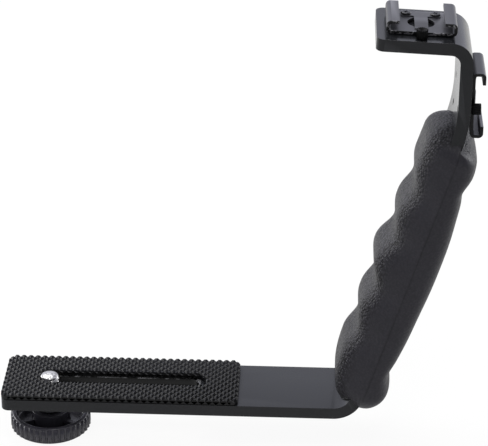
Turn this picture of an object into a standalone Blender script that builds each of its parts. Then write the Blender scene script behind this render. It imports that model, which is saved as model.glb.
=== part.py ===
# Camera flash bracket: a C-shaped flat bar with a padded camera seat and a sliding
# thumb screw, a moulded hand grip, and two accessory shoes with a leaf spring and a stop.
# Units are metres, +Z is up, +X points from the camera seat to the grip.
# The origin is on the underside of the base, on its centre line, between pad and grip.

import math

import bmesh
import bpy
from mathutils import Matrix, Vector

MM = 0.001

# Clearances shared by the whole part
SEAT_GAP = 0.3 * MM          # between two pieces that rest on each other
SHEET_GAP = 0.15 * MM        # between thin sheets and screw heads held together
RUN_GAP = 0.15 * MM          # radial play of a small shaft in its hole
OVERRUN = 3.0 * MM           # how far every cutter passes the face it cuts

# Flat bar, bent once flat and kept the same section all the way round
BAR_WIDTH = 26.4 * MM
BAR_THICKNESS = 4.0 * MM
BAR_EDGE_RADIUS = 0.3 * MM
BAR_CORNER_RADIUS = 2.6 * MM
BASE_LENGTH = 110.4 * MM
ORIGIN_TO_BEND = 16.0 * MM
LOWER_BEND_RADIUS = 8.0 * MM
GRIP_LEAN = math.radians(17.0)
GRIP_LENGTH = 108.5 * MM
GRIP_PAST_SLANT = 12.9 * MM   # the grip runs past the slanted stretch by this much
UPPER_BEND_RADIUS = 50.5 * MM
UPRIGHT_LENGTH = 14.0 * MM
TOP_BEND_RADIUS = 5.0 * MM
TOP_ARM_RISE = math.radians(2.5)
TOP_ARM_LENGTH = 23.1 * MM
BEND_STEP = math.radians(9.0)
WIDE_BEND_STEP = math.radians(2.5)
ROUNDING_STEPS = 4

# Rubber pad of the camera seat
PAD_LENGTH = 78.8 * MM
PAD_BASE_THICKNESS = 1.0 * MM
PAD_CORNER_RADIUS = 2.2 * MM
PAD_SLOT_WIDTH = 6.9 * MM
PAD_SLOT_EXTRA = 2.4 * MM    # the pad's slot runs on past the bar's slot
KNURL_HEIGHT = 0.7 * MM
KNURL_ALONG = 2.4 * MM       # length of one pyramid's base, along the bar
KNURL_ACROSS = 2.9 * MM
KNURL_FLAT = 0.55 * MM       # length of a pyramid's blunt tip

# Camera screw and its stepped slot
SLOT_START = 14.9 * MM       # from the bar's free end to the screw's first place
SLOT_END_MARGIN = 16.9 * MM  # from the screw's last place to the pad's right end
SLOT_WIDTH = 6.9 * MM        # upper part, lets the thread through
SLOT_NECK_WIDTH = 5.5 * MM   # lower ledge, holds the thread back
SLOT_LEDGE = 1.2 * MM
THREAD_DIAMETER = 6.35 * MM
NECK_DIAMETER = 4.9 * MM
SCREW_PROUD = 0.85 * MM      # how far the tip shows above the pad when it hangs
TIP_CHAMFER = 0.5 * MM
RUNNER_THICKNESS = 1.0 * MM
SCREW_DROP = 5.4 * MM        # hanging washer's top below the bar's underside

# Thumb wheel of the camera screw
KNOB_DIAMETER = 27.0 * MM
KNOB_RIM_HEIGHT = 5.8 * MM
KNOB_RIM_WALL = 1.9 * MM
KNOB_FLOOR = 1.4 * MM
KNOB_CHAMFER = 0.45 * MM
KNOB_FLUTES = 80
KNOB_FLUTE_DEPTH = 0.35 * MM
HUB_DIAMETER = 13.0 * MM
HUB_PROUD = 0.9 * MM         # hub's top above the rim's top
KNOB_RIBS = 3
KNOB_RIB_THICKNESS = 1.5 * MM
KNOB_RIB_DROP = 2.0 * MM     # rib's top below the rim's top
WASHER_DIAMETER = 9.4 * MM
WASHER_THICKNESS = 0.8 * MM
HEX_ACROSS_FLATS = 8.0 * MM
HEX_THICKNESS = 2.5 * MM

# Hand grip, measured along the slanted bar from the grip's lowest point
GRIP_BACK_SHORT = 4.9 * MM       # the palm side ends this far below the finger side
GRIP_SIDE_WALL = 4.0 * MM        # beside the bar, where the grip is widest
GRIP_START_AHEAD = 6.74 * MM     # grip's axis meets the underside this far past the bend
FINGER_DEPTH = 9.54 * MM
FINGER_TAPER = 1.49 * MM         # the finger side is this much shallower at its top
GROOVE_DEPTH = 2.08 * MM
GROOVE_PITCH = 17.9 * MM
GROOVE_COUNT = 4
GROOVE_SHARPNESS = 1.26
LOWEST_GROOVE = 30.3 * MM
MIDDLE_CREST = 1.3 * MM          # the middle crest stands this much further out
MIDDLE_CREST_SPREAD = 6.5 * MM
PALM_DEPTH = 6.94 * MM
PALM_TAPER = 1.0 * MM           # the palm side is this much deeper at its top
PALM_SWELL = 2.44 * MM
PALM_SWELL_CENTRE = 55.8 * MM
PALM_SWELL_SPREAD = 25.0 * MM
BOTTOM_CAP = 24.1 * MM           # length over which the grip rounds off at its foot
PALM_BOTTOM_CAP = 8.5 * MM
SIDE_BOTTOM_CAP = 8.35 * MM
TOP_CAP = 8.1 * MM
PALM_TOP_CAP = 4.9 * MM
SIDE_TOP_CAP = 8.7 * MM
GRIP_END_STEPS = 8
GRIP_MIDDLE_STEPS = 32
GRIP_SECTION_POINTS = 26
FINGER_SQUARENESS = 6.2
PALM_SQUARENESS = 3.2
FOOT_SQUARENESS = 2.6
NARROWING_SHARE = 0.35           # the section narrows by this share towards the fingers

# Accessory shoe, in its own frame: U along the bar, V across it, W away from the bar
SHOE_WIDTH = 21.8 * MM
SHOE_NEAR_LENGTH = 8.6 * MM      # from the bar's middle to the shoe's near end
SHOE_FAR_LENGTH = 8.5 * MM
SHOE_SHEET = 1.0 * MM
SHOE_HEIGHT = 4.2 * MM
SHOE_LIP = 3.9 * MM
SHOE_BEND_RADIUS = 1.5 * MM
SHOE_WINDOW_DIAMETER = 8.4 * MM
SHOE_WINDOW_PLACE = 0.5 * MM
TOP_SHOE_FROM_END = 13.7 * MM
SIDE_SHOE_DROP = 1.6 * MM        # shoe's centre below the top of the wide bend

# Leaf spring of a shoe
SPRING_SHEET = 0.3 * MM
SPRING_TONGUE_WIDTH = 4.2 * MM
SPRING_BAR_WIDTH = 12.4 * MM
SPRING_BAR_LENGTH = 3.0 * MM
SPRING_TONGUE_LENGTH = 10.2 * MM
SPRING_BOW = 0.35 * MM
SPRING_STEPS = 8

# Fixing screws of a shoe
FIX_SPACING = 9.2 * MM
FIX_PLACE = 5.2 * MM
FIX_HEAD_DIAMETER = 3.2 * MM
FIX_HEAD_HEIGHT = 0.45 * MM
FIX_DIAMETER = 1.8 * MM
FIX_LENGTH = 5.2 * MM

# Stop of a shoe: a knurled head on a threaded stud, in front of the shoe's near end
STOP_PLACE = 10.75 * MM          # stud's axis, nearer than the bar's centre line
STOP_HEAD_DIAMETER = 3.6 * MM
STOP_HEAD_HEIGHT = 2.9 * MM
STOP_HEAD_CHAMFER = 0.2 * MM
STOP_KNURLS = 16
STOP_KNURL_DEPTH = 0.18 * MM
STOP_STUD_DIAMETER = 1.7 * MM
STOP_STUD_LENGTH = 5.6 * MM
STOP_SOCKET_DEPTH = 1.5 * MM     # how deep the stud sits in the knurled head

ROUND_STEPS = 24
SMALL_ROUND_STEPS = 16
ARC_STEPS = 5
SLOT_END_STEPS = 11           # odd, so that no corner lies on the centre line
SMOOTH_ANGLE = math.radians(32.0)
FLAT_ANGLE = math.radians(0.5)

# Places that follow from the sizes above
SLANT_LENGTH = GRIP_LENGTH - GRIP_PAST_SLANT
GRIP_BACK_LENGTH = GRIP_LENGTH - GRIP_BACK_SHORT
GRIP_HALF_WIDTH = BAR_WIDTH / 2 + GRIP_SIDE_WALL
SLOT_TRAVEL = PAD_LENGTH - SLOT_START - SLOT_END_MARGIN
BASE_END = ORIGIN_TO_BEND - BASE_LENGTH
PAD_BOTTOM = BAR_THICKNESS + SEAT_GAP
PAD_TOP = PAD_BOTTOM + PAD_BASE_THICKNESS + KNURL_HEIGHT
SCREW_X = BASE_END + SLOT_START
WASHER_TOP = -SCREW_DROP
HUB_TOP = WASHER_TOP - WASHER_THICKNESS - SHEET_GAP
RIM_TOP = HUB_TOP - HUB_PROUD
KNOB_BOTTOM = RIM_TOP - KNOB_RIM_HEIGHT
RUNNER_BOTTOM = SLOT_LEDGE + SEAT_GAP
THREAD_BOTTOM = RUNNER_BOTTOM + RUNNER_THICKNESS + SEAT_GAP
TIP_TOP = PAD_TOP + SCREW_PROUD
SPRING_BOTTOM = SHOE_SHEET + SHEET_GAP
SPRING_TOP = SPRING_BOTTOM + SPRING_SHEET


def clear_scene():
    for item in list(bpy.data.objects):
        bpy.data.objects.remove(item, do_unlink=True)


def material(name, colour, roughness, metallic=0.0):
    made = bpy.data.materials.get(name) or bpy.data.materials.new(name)
    made.use_nodes = True
    shader = made.node_tree.nodes["Principled BSDF"]
    shader.inputs["Base Color"].default_value = (*colour, 1.0)
    shader.inputs["Roughness"].default_value = roughness
    shader.inputs["Metallic"].default_value = metallic
    return made


def black_enamel():
    return material("black_enamel", (0.075, 0.076, 0.082), 0.42, 0.2)


def black_rubber():
    return material("black_rubber", (0.022, 0.022, 0.024), 0.8)


def grip_rubber():
    return material("grip_rubber", (0.032, 0.031, 0.036), 0.7)


def black_plastic():
    return material("black_plastic", (0.035, 0.035, 0.039), 0.45)


def bright_steel():
    return material("bright_steel", (0.62, 0.62, 0.60), 0.25, 1.0)


def black_steel():
    return material("black_steel", (0.02, 0.02, 0.022), 0.4, 0.8)


def shoe_enamel():
    return material("shoe_enamel", (0.1, 0.1, 0.11), 0.38, 0.3)


def white_nylon():
    return material("white_nylon", (0.55, 0.54, 0.5), 0.5)


# Mesh helpers

def new_object(name, shape, finish, place=None):
    """Turn a bmesh into a named object with one material and clean outward faces."""
    bmesh.ops.recalc_face_normals(shape, faces=shape.faces)
    mesh = bpy.data.meshes.new(name)
    shape.to_mesh(mesh)
    shape.free()
    mesh.shade_smooth()
    mesh.set_sharp_from_angle(angle=SMOOTH_ANGLE)
    made = bpy.data.objects.new(name, mesh)
    bpy.context.scene.collection.objects.link(made)
    if finish:
        made.data.materials.append(finish)
    if place:
        made.matrix_world = place
    return made


def cut_away(target, shape, name, place=None):
    """Keep a Boolean modifier on the target, with its cutter as a hidden guide."""
    cutter = new_object(name, shape, None, place)
    cutter.hide_render = True
    cutter.display_type = "WIRE"
    cut = target.modifiers.new(name, "BOOLEAN")
    cut.operation = "DIFFERENCE"
    cut.solver = "EXACT"
    cut.object = cutter
    return cutter


def joined_to(target, shape, name, place=None):
    added = cut_away(target, shape, name, place)
    target.modifiers[name].operation = "UNION"
    return added


def skin(rings, closed=False):
    """Bridge rings of equally many points, and cap the two ends unless it is a closed tube."""
    shape = bmesh.new()
    rows = [[shape.verts.new(point) for point in ring] for ring in rings]
    pairs = list(zip(rows, rows[1:]))
    if closed:
        pairs.append((rows[-1], rows[0]))
    for first, second in pairs:
        count = len(first)
        for index in range(count):
            after = (index + 1) % count
            shape.faces.new((first[index], first[after], second[after], second[index]))
    if not closed:
        shape.faces.new(list(reversed(rows[0])))
        shape.faces.new(rows[-1])
    return shape


def prism(outline, start, end, axis="Z"):
    """Extrude a flat outline between two heights along one axis."""
    shape = bmesh.new()
    order = {"X": lambda a, b, h: (h, a, b), "Y": lambda a, b, h: (a, h, b),
             "Z": lambda a, b, h: (a, b, h)}[axis]
    face = shape.faces.new([shape.verts.new(order(a, b, start)) for a, b in outline])
    raised = bmesh.ops.extrude_face_region(shape, geom=[face])
    moved = [item for item in raised["geom"] if isinstance(item, bmesh.types.BMVert)]
    bmesh.ops.translate(shape, verts=moved, vec=Vector(order(0, 0, end - start)))
    return shape


def arc(centre, radius, start, end, steps):
    """Points of an arc, both ends included; angles in radians."""
    return [(centre[0] + radius * math.cos(start + (end - start) * index / steps),
             centre[1] + radius * math.sin(start + (end - start) * index / steps))
            for index in range(steps + 1)]


def rectangle(low_a, high_a, low_b, high_b):
    return [(low_a, low_b), (high_a, low_b), (high_a, high_b), (low_a, high_b)]


def rounded_rectangle(low_a, high_a, low_b, high_b, radius, steps=ARC_STEPS):
    quarter = math.pi / 2
    corners = [(high_a - radius, high_b - radius, 0), (low_a + radius, high_b - radius, quarter),
               (low_a + radius, low_b + radius, 2 * quarter),
               (high_a - radius, low_b + radius, 3 * quarter)]
    points = []
    for a, b, turn in corners:
        points += arc((a, b), radius, turn, turn + quarter, steps)
    return points


def stadium(start_a, end_a, width):
    """A slot's outline: two half circles centred on its ends."""
    half = math.pi / 2
    right = arc((end_a, 0), width / 2, -half, half, SLOT_END_STEPS)
    left = arc((start_a, 0), width / 2, half, 3 * half, SLOT_END_STEPS)
    return right + left


def circle(radius, steps, centre=(0, 0)):
    return arc(centre, radius, 0, 2 * math.pi * (steps - 1) / steps, steps - 1)


def ring_at(radius, height, steps):
    """A level ring; the radius may also be a function of the angle."""
    points = []
    for index in range(steps):
        angle = 2 * math.pi * index / steps
        reach = radius(angle) if callable(radius) else radius
        points.append(Vector((reach * math.cos(angle), reach * math.sin(angle), height)))
    return points


def turned(outline, steps, closed=False):
    """A turned shape about Z from (radius, height) pairs, listed bottom to top outside."""
    return skin([ring_at(radius, height, steps) for radius, height in outline], closed)


# The bent bar's centre line

def bar_segments():
    """Straight and bent stretches of the centre line: length, turn and angular step."""
    lower_turn = math.pi / 2 - GRIP_LEAN
    top_turn = math.pi / 2 - TOP_ARM_RISE
    return [(BASE_LENGTH, 0, 0),
            (LOWER_BEND_RADIUS * lower_turn, lower_turn, BEND_STEP),
            (SLANT_LENGTH, 0, 0),
            (UPPER_BEND_RADIUS * GRIP_LEAN, GRIP_LEAN, WIDE_BEND_STEP),
            (UPRIGHT_LENGTH, 0, 0),
            (TOP_BEND_RADIUS * top_turn, top_turn, BEND_STEP),
            (TOP_ARM_LENGTH, 0, 0)]


def bar_length(stretches=None):
    return sum(length for length, _, _ in bar_segments()[:stretches])


def bar_point(distance):
    """Place (x, z) and heading of the centre line at a distance from the free end."""
    x, z, heading = BASE_END, BAR_THICKNESS / 2, 0.0
    left = distance
    segments = bar_segments()
    for index, (length, turn, _) in enumerate(segments):
        run = min(left, length) if index < len(segments) - 1 else left
        if turn:
            radius = length / turn
            turned_by = run / radius
            x += radius * (math.sin(heading + turned_by) - math.sin(heading))
            z += radius * (math.cos(heading) - math.cos(heading + turned_by))
            heading += turned_by
        else:
            x += run * math.cos(heading)
            z += run * math.sin(heading)
        left -= run
        if left <= 0:
            break
    return x, z, heading


def bar_section(distance, half_width, half_thickness, radius):
    """One rounded rectangle square to the centre line."""
    x, z, heading = bar_point(distance)
    outline = rounded_rectangle(-half_width, half_width, -half_thickness, half_thickness,
                                radius, 1)
    return [Vector((x - math.sin(heading) * b, a, z + math.cos(heading) * b))
            for a, b in outline]


def rounding_inset(distance, radius):
    """How far a rounded end has drawn in at a distance from the very end."""
    if distance >= radius:
        return 0.0
    return radius - math.sqrt(radius ** 2 - (radius - distance) ** 2)


def bar_stations(start, end):
    """Distances along the bar that carry a section: bends in steps, straights by their ends."""
    stations = [start]
    walked = 0.0
    for length, turn, step in bar_segments():
        pieces = max(1, math.ceil(abs(turn) / step)) if turn else 1
        for index in range(pieces + 1):
            place = walked + length * index / pieces
            if start < place < end:
                stations.append(place)
        walked += length
    stations.append(end)
    kept = []
    for place in sorted(stations):
        if not kept or place - kept[-1] > SHEET_GAP:
            kept.append(place)
    return kept


def end_roundings():
    """Distances from a free end where the corner and the edge rounding carry a section."""
    places = [0.0]
    for radius in (BAR_EDGE_RADIUS, BAR_CORNER_RADIUS):
        for index in range(1, ROUNDING_STEPS + 1):
            places.append(radius * (1 - math.cos(math.pi / 2 * index / ROUNDING_STEPS)))
    return sorted(places)


def make_bar():
    total = bar_length()
    ends = end_roundings()
    inner = [place for place in bar_stations(0.0, total) if ends[-1] < place < total - ends[-1]]
    stations = ends + inner + [total - place for place in reversed(ends)]
    rings = []
    for place in stations:
        from_end = min(place, total - place)
        edge = rounding_inset(from_end, BAR_EDGE_RADIUS)
        corner = rounding_inset(from_end, BAR_CORNER_RADIUS)
        rings.append(bar_section(place, BAR_WIDTH / 2 - edge - corner,
                                 BAR_THICKNESS / 2 - edge, BAR_EDGE_RADIUS - edge / 2))
    bar = new_object("bracket_bar", skin(rings), black_enamel())
    wide = prism(stadium(SCREW_X, SCREW_X + SLOT_TRAVEL, SLOT_WIDTH),
                 SLOT_LEDGE, BAR_THICKNESS + OVERRUN)
    cut_away(bar, wide, "guide_slot")
    narrow = prism(stadium(SCREW_X, SCREW_X + SLOT_TRAVEL, SLOT_NECK_WIDTH),
                   -OVERRUN, SLOT_LEDGE + OVERRUN / 2)
    cut_away(bar, narrow, "guide_slot_neck")
    for side, place in (("top", top_shoe_frame()), ("side", side_shoe_frame())):
        holes = [("fixing_1", FIX_DIAMETER, -FIX_SPACING / 2, FIX_PLACE),
                 ("fixing_2", FIX_DIAMETER, FIX_SPACING / 2, FIX_PLACE),
                 ("stop", STOP_STUD_DIAMETER, 0, -STOP_PLACE)]
        for use, diameter, along, across in holes:
            hole = prism(circle(diameter / 2 + RUN_GAP, SMALL_ROUND_STEPS, (along, across)),
                         -BAR_THICKNESS - OVERRUN, OVERRUN)
            cut_away(bar, hole, "guide_bar_hole_%s_%s" % (side, use), place)
    return bar


# Camera seat

def knurled_sheet():
    """The pad's rubber sheet, whose whole top is a field of small blunt pyramids."""
    columns = round(2 * PAD_LENGTH / KNURL_ALONG)
    rows = round(2 * BAR_WIDTH / KNURL_ACROSS)
    blunt_share = KNURL_FLAT / KNURL_ALONG
    shape = bmesh.new()

    def point(column, row, height=0.0):
        return Vector((BASE_END + PAD_LENGTH * column / columns,
                       BAR_WIDTH * row / rows - BAR_WIDTH / 2,
                       PAD_BOTTOM + PAD_BASE_THICKNESS + height))

    cells = [(column, row) for column in range(columns + 1) for row in range(rows + 1)]
    valleys = {cell: shape.verts.new(point(*cell)) for cell in cells if sum(cell) % 2}
    sides = [(1, 0), (0, 1), (-1, 0), (0, -1)]
    for column, row in [cell for cell in cells if sum(cell) % 2 == 0]:
        feet = [valleys.get((column + a, row + b)) for a, b in sides]
        tips = [shape.verts.new(point(column + blunt_share * a, row + blunt_share * b,
                                      KNURL_HEIGHT)) if foot else None
                for (a, b), foot in zip(sides, feet)]
        crown = [tip for tip in tips if tip]
        if len(crown) == 2:
            crown.append(shape.verts.new(point(column, row, KNURL_HEIGHT)))
        shape.faces.new(crown)
        for index in range(len(sides)):
            if feet[index - 1] and feet[index]:
                shape.faces.new((feet[index - 1], feet[index], tips[index], tips[index - 1]))
    rim = [edge for edge in shape.edges if edge.is_boundary]
    walls = bmesh.ops.extrude_edge_only(shape, edges=rim)["geom"]
    for item in walls:
        if isinstance(item, bmesh.types.BMVert):
            item.co.z = PAD_BOTTOM
    floor = [item for item in walls if isinstance(item, bmesh.types.BMEdge)]
    bmesh.ops.edgeloop_fill(shape, edges=[edge for edge in floor if edge.is_boundary])
    bmesh.ops.dissolve_limit(shape, angle_limit=FLAT_ANGLE, verts=shape.verts[:],
                             edges=shape.edges[:])
    return shape


def make_pad():
    """The camera seat: a knurled sheet with rounded corners and a slot."""
    pad = new_object("base_pad", knurled_sheet(), black_rubber())
    half_length, half_width = PAD_LENGTH / 2, BAR_WIDTH / 2
    middle = BASE_END + half_length
    points = arc((half_length - PAD_CORNER_RADIUS, half_width - PAD_CORNER_RADIUS),
                 PAD_CORNER_RADIUS, 0, math.pi / 2, ARC_STEPS)
    first = [2 * a - b for a, b in zip(points[0], points[1])]
    last = [2 * a - b for a, b in zip(points[-1], points[-2])]
    outside = (half_length + OVERRUN, half_width + OVERRUN)
    corner = [first] + points[1:-1] + [last, outside]
    for number, (a, b) in enumerate(((1, 1), (-1, 1), (-1, -1), (1, -1))):
        trim = prism([(middle + a * x, b * y) for x, y in corner],
                     PAD_BOTTOM - OVERRUN, PAD_TOP + OVERRUN)
        cut_away(pad, trim, "guide_pad_corner_%d" % (number + 1))
    slot = prism(stadium(SCREW_X, SCREW_X + SLOT_TRAVEL + PAD_SLOT_EXTRA, PAD_SLOT_WIDTH),
                 PAD_BOTTOM - OVERRUN, PAD_TOP + OVERRUN)
    cut_away(pad, slot, "guide_pad_slot")
    return pad


def make_camera_screw():
    """Steel screw: hexagon in the knob's hub, plain neck, then the camera thread."""
    def hexagon(angle):
        folded = (angle + math.pi / 6) % (math.pi / 3) - math.pi / 6
        return HEX_ACROSS_FLATS / 2 / math.cos(folded)

    hex_bottom = HUB_TOP - SHEET_GAP - HEX_THICKNESS
    neck = NECK_DIAMETER / 2
    thread = THREAD_DIAMETER / 2
    outline = [(neck, hex_bottom), (hexagon, hex_bottom), (hexagon, hex_bottom + HEX_THICKNESS),
               (neck, hex_bottom + HEX_THICKNESS), (neck, THREAD_BOTTOM),
               (thread, THREAD_BOTTOM + (thread - neck)), (thread, TIP_TOP - TIP_CHAMFER),
               (thread - TIP_CHAMFER, TIP_TOP)]
    screw = new_object("camera_screw", turned(outline, ROUND_STEPS), bright_steel())
    return screw


def make_screw_washer():
    outer = WASHER_DIAMETER / 2
    inner = NECK_DIAMETER / 2 + RUN_GAP
    bottom = WASHER_TOP - WASHER_THICKNESS
    outline = [(inner, bottom), (outer, bottom), (outer, WASHER_TOP), (inner, WASHER_TOP)]
    return new_object("screw_washer", turned(outline, ROUND_STEPS, closed=True), bright_steel())


def make_slot_runner():
    """Nylon runner that keeps the screw upright: a ring with two flats for the slot."""
    flat = SLOT_WIDTH / 2 - RUN_GAP
    outer = THREAD_DIAMETER / 2 + RUN_GAP
    bore = NECK_DIAMETER / 2 + RUN_GAP

    def flatted(angle):
        reach = outer
        return min(reach, flat / max(abs(math.sin(angle)), RUN_GAP / outer))

    top = RUNNER_BOTTOM + RUNNER_THICKNESS
    outline = [(bore, RUNNER_BOTTOM), (flatted, RUNNER_BOTTOM), (flatted, top), (bore, top)]
    return new_object("slot_runner", turned(outline, ROUND_STEPS, closed=True), white_nylon())


def make_knob(axis):
    """Cup-shaped thumb wheel: fluted rim, floor, ribs and a hub with a hexagon pocket."""
    points = 2 * KNOB_FLUTES
    outer = KNOB_DIAMETER / 2

    def fluted(angle):
        tooth = round(angle / (2 * math.pi) * points) % 2
        return outer - KNOB_FLUTE_DEPTH * tooth

    plain = outer - KNOB_FLUTE_DEPTH - KNOB_CHAMFER
    cup = outer - KNOB_RIM_WALL
    hub = HUB_DIAMETER / 2
    floor = KNOB_BOTTOM + KNOB_FLOOR
    outline = [(plain, KNOB_BOTTOM), (fluted, KNOB_BOTTOM + KNOB_CHAMFER),
               (fluted, RIM_TOP - KNOB_CHAMFER), (plain, RIM_TOP)]
    knob = new_object("camera_knob", turned(outline, points), black_plastic())
    knob.parent = axis
    hollow = turned([(cup, floor), (cup, RIM_TOP + OVERRUN)], 2 * ROUND_STEPS)
    cut_away(knob, hollow, "guide_knob_cup").parent = axis
    post = turned([(hub, floor - KNOB_FLOOR / 2), (hub, HUB_TOP)], 2 * SMALL_ROUND_STEPS)
    joined_to(knob, post, "guide_knob_hub").parent = axis
    for index in range(KNOB_RIBS):
        turn = Matrix.Rotation(math.pi / 2 + 2 * math.pi * index / KNOB_RIBS, 4, "Z")
        rib = prism(rectangle(hub - KNOB_CHAMFER, cup + KNOB_CHAMFER,
                              -KNOB_RIB_THICKNESS / 2, KNOB_RIB_THICKNESS / 2),
                    floor - KNOB_FLOOR / 2, RIM_TOP - KNOB_RIB_DROP)
        joined_to(knob, rib, "guide_knob_rib_%d" % (index + 1), turn).parent = axis
    pocket_bottom = HUB_TOP - 2 * SHEET_GAP - HEX_THICKNESS
    corner = (HEX_ACROSS_FLATS / 2 + RUN_GAP) / math.cos(math.pi / 6)
    pocket = prism(circle(corner, 6), pocket_bottom, HUB_TOP + OVERRUN)
    turn = Matrix.Rotation(math.pi / 6, 4, "Z")
    cut_away(knob, pocket, "guide_hex_pocket", turn).parent = axis
    return knob


# Hand grip

def rounded_share(share, squareness):
    return math.copysign(abs(share) ** (2 / squareness), share)


def end_cap(from_end, length, squareness=2.0):
    """Share of the full size near a rounded end."""
    if from_end >= length:
        return 1.0
    gone = 1 - max(from_end, 0) / length
    return (1 - gone ** squareness) ** (1 / squareness)


def swell(place, centre, spread):
    return math.exp(-((place - centre) / spread) ** 2)


def finger_depth(place):
    """Depth of the finger side: four grooves between rounded crests."""
    first_crest = LOWEST_GROOVE - GROOVE_PITCH / 2
    middle_crest = first_crest + GROOVE_PITCH * GROOVE_COUNT / 2
    last_crest = first_crest + GROOVE_PITCH * GROOVE_COUNT
    depth = FINGER_DEPTH + GROOVE_DEPTH / 2 - FINGER_TAPER * (place / GRIP_LENGTH - 0.5)
    depth += MIDDLE_CREST * swell(place, middle_crest, MIDDLE_CREST_SPREAD)
    if first_crest < place < last_crest:
        phase = 2 * math.pi * (place - first_crest) / GROOVE_PITCH
        depth -= GROOVE_DEPTH * (0.5 - 0.5 * math.cos(phase)) ** GROOVE_SHARPNESS
    bottom = end_cap(place, BOTTOM_CAP, FOOT_SQUARENESS)
    return depth * bottom * end_cap(GRIP_LENGTH - place, TOP_CAP)


def palm_depth(place):
    depth = PALM_DEPTH + PALM_SWELL * swell(place, PALM_SWELL_CENTRE, PALM_SWELL_SPREAD)
    depth += PALM_TAPER * (place / GRIP_LENGTH - 0.5)
    bottom = end_cap(place, PALM_BOTTOM_CAP)
    return depth * bottom * end_cap(GRIP_BACK_LENGTH - place, PALM_TOP_CAP)


def half_width(place):
    bottom = end_cap(place, SIDE_BOTTOM_CAP)
    return GRIP_HALF_WIDTH * bottom * end_cap(GRIP_LENGTH - place, SIDE_TOP_CAP)


def grip_axis_point(place):
    """Point of the grip's straight axis, which starts on the bar's underside plane."""
    return (ORIGIN_TO_BEND + GRIP_START_AHEAD + place * math.sin(GRIP_LEAN),
            place * math.cos(GRIP_LEAN))


def grip_ring(place):
    """Section of the grip: a rounded box that narrows towards the fingers."""
    x, z = grip_axis_point(place)
    ahead = Vector((math.cos(GRIP_LEAN), 0, -math.sin(GRIP_LEAN)))
    ring = []
    for index in range(GRIP_SECTION_POINTS):
        angle = 2 * math.pi * index / GRIP_SECTION_POINTS
        palm = math.cos(angle) > 0
        depth = palm_depth(place) if palm else finger_depth(place)
        squareness = PALM_SQUARENESS if palm else FINGER_SQUARENESS
        reach = rounded_share(math.cos(angle), squareness)
        across = half_width(place) * rounded_share(math.sin(angle), squareness)
        across *= 1 + NARROWING_SHARE * min(reach, 0)
        ring.append(Vector((x, across, z)) + ahead * depth * reach)
    return ring


def grip_places():
    """Stations along the grip, crowded where it rounds off towards each end."""
    places = []
    for index in range(GRIP_END_STEPS):
        share = 1 - math.cos(math.pi / 2 * (index + 1) / GRIP_END_STEPS)
        places.append(SIDE_BOTTOM_CAP * share)
        places.append(GRIP_LENGTH - SIDE_TOP_CAP * share)
    first, last = SIDE_BOTTOM_CAP, GRIP_LENGTH - SIDE_TOP_CAP
    for index in range(1, GRIP_MIDDLE_STEPS):
        places.append(first + (last - first) * index / GRIP_MIDDLE_STEPS)
    return sorted(places)


def make_grip():
    grip = new_object("hand_grip", skin([grip_ring(place) for place in grip_places()]),
                      grip_rubber())
    start = BASE_LENGTH - LOWER_BEND_RADIUS
    end = bar_length(5)
    rings = [bar_section(place, BAR_WIDTH / 2 + SEAT_GAP, BAR_THICKNESS / 2 + SEAT_GAP,
                         BAR_EDGE_RADIUS) for place in bar_stations(start, end)]
    cut_away(grip, skin(rings), "guide_bar_channel")
    return grip


# Accessory shoes

def shoe_frame(distance, along_shift=0.0):
    """Frame of a shoe's underside: U along the bar, V across it, W away from it."""
    x, z, heading = bar_point(distance)
    along = Vector((-math.cos(heading), 0, -math.sin(heading)))
    out = Vector((math.sin(heading), 0, -math.cos(heading)))
    centre = Vector((x, 0, z)) + out * (BAR_THICKNESS / 2 + SEAT_GAP) + along * along_shift
    frame = Matrix.Identity(4)
    for column, axis in enumerate((along, Vector((0, 1, 0)), out, centre)):
        frame.col[column][:3] = axis
    return frame


def top_shoe_frame():
    return shoe_frame(bar_length() - TOP_SHOE_FROM_END)


def side_shoe_frame():
    """Square on the upright's straight stretch, with its lower part past the wide bend."""
    return shoe_frame(bar_length(4), SIDE_SHOE_DROP)


def shoe_outline():
    """Half of the channel's section: outside up to the lip's tip, then back inside."""
    half = SHOE_WIDTH / 2
    outer = SHOE_BEND_RADIUS
    inner = SHOE_BEND_RADIUS - SHOE_SHEET
    top = SHOE_HEIGHT
    low = (half - outer, outer)
    high = (half - outer, top - outer)
    quarter = math.pi / 2
    outside = arc(low, outer, -quarter, 0, ARC_STEPS) + arc(high, outer, 0, quarter, ARC_STEPS)
    inside = arc(high, inner, quarter, 0, ARC_STEPS) + arc(low, inner, 0, -quarter, ARC_STEPS)
    lip = half - SHOE_LIP
    return outside + [(lip, top), (lip, top - SHOE_SHEET)] + inside


def mirrored_outline(points):
    """A closed outline from its right half."""
    return points + [(-a, b) for a, b in reversed(points)]


def make_shoe(side, place):
    """Channel of bent sheet with a round window and two screw holes in its base."""
    section = mirrored_outline(shoe_outline())
    shape = prism(section, -SHOE_NEAR_LENGTH, SHOE_FAR_LENGTH, axis="Y")
    shoe = new_object(side + "_shoe", shape, shoe_enamel(), place)
    holes = [("window", SHOE_WINDOW_DIAMETER / 2, 0, SHOE_WINDOW_PLACE, ROUND_STEPS)]
    for number, along in enumerate((-FIX_SPACING / 2, FIX_SPACING / 2)):
        holes.append(("fixing_%d" % (number + 1), FIX_DIAMETER / 2 + RUN_GAP, along, FIX_PLACE,
                      SMALL_ROUND_STEPS))
    for use, radius, along, across, steps in holes:
        hole = prism(circle(radius, steps, (along, across)), -OVERRUN, SHOE_SHEET + OVERRUN / 2)
        cut_away(shoe, hole, "guide_%s_shoe_%s" % (side, use), place)
    return shoe


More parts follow.
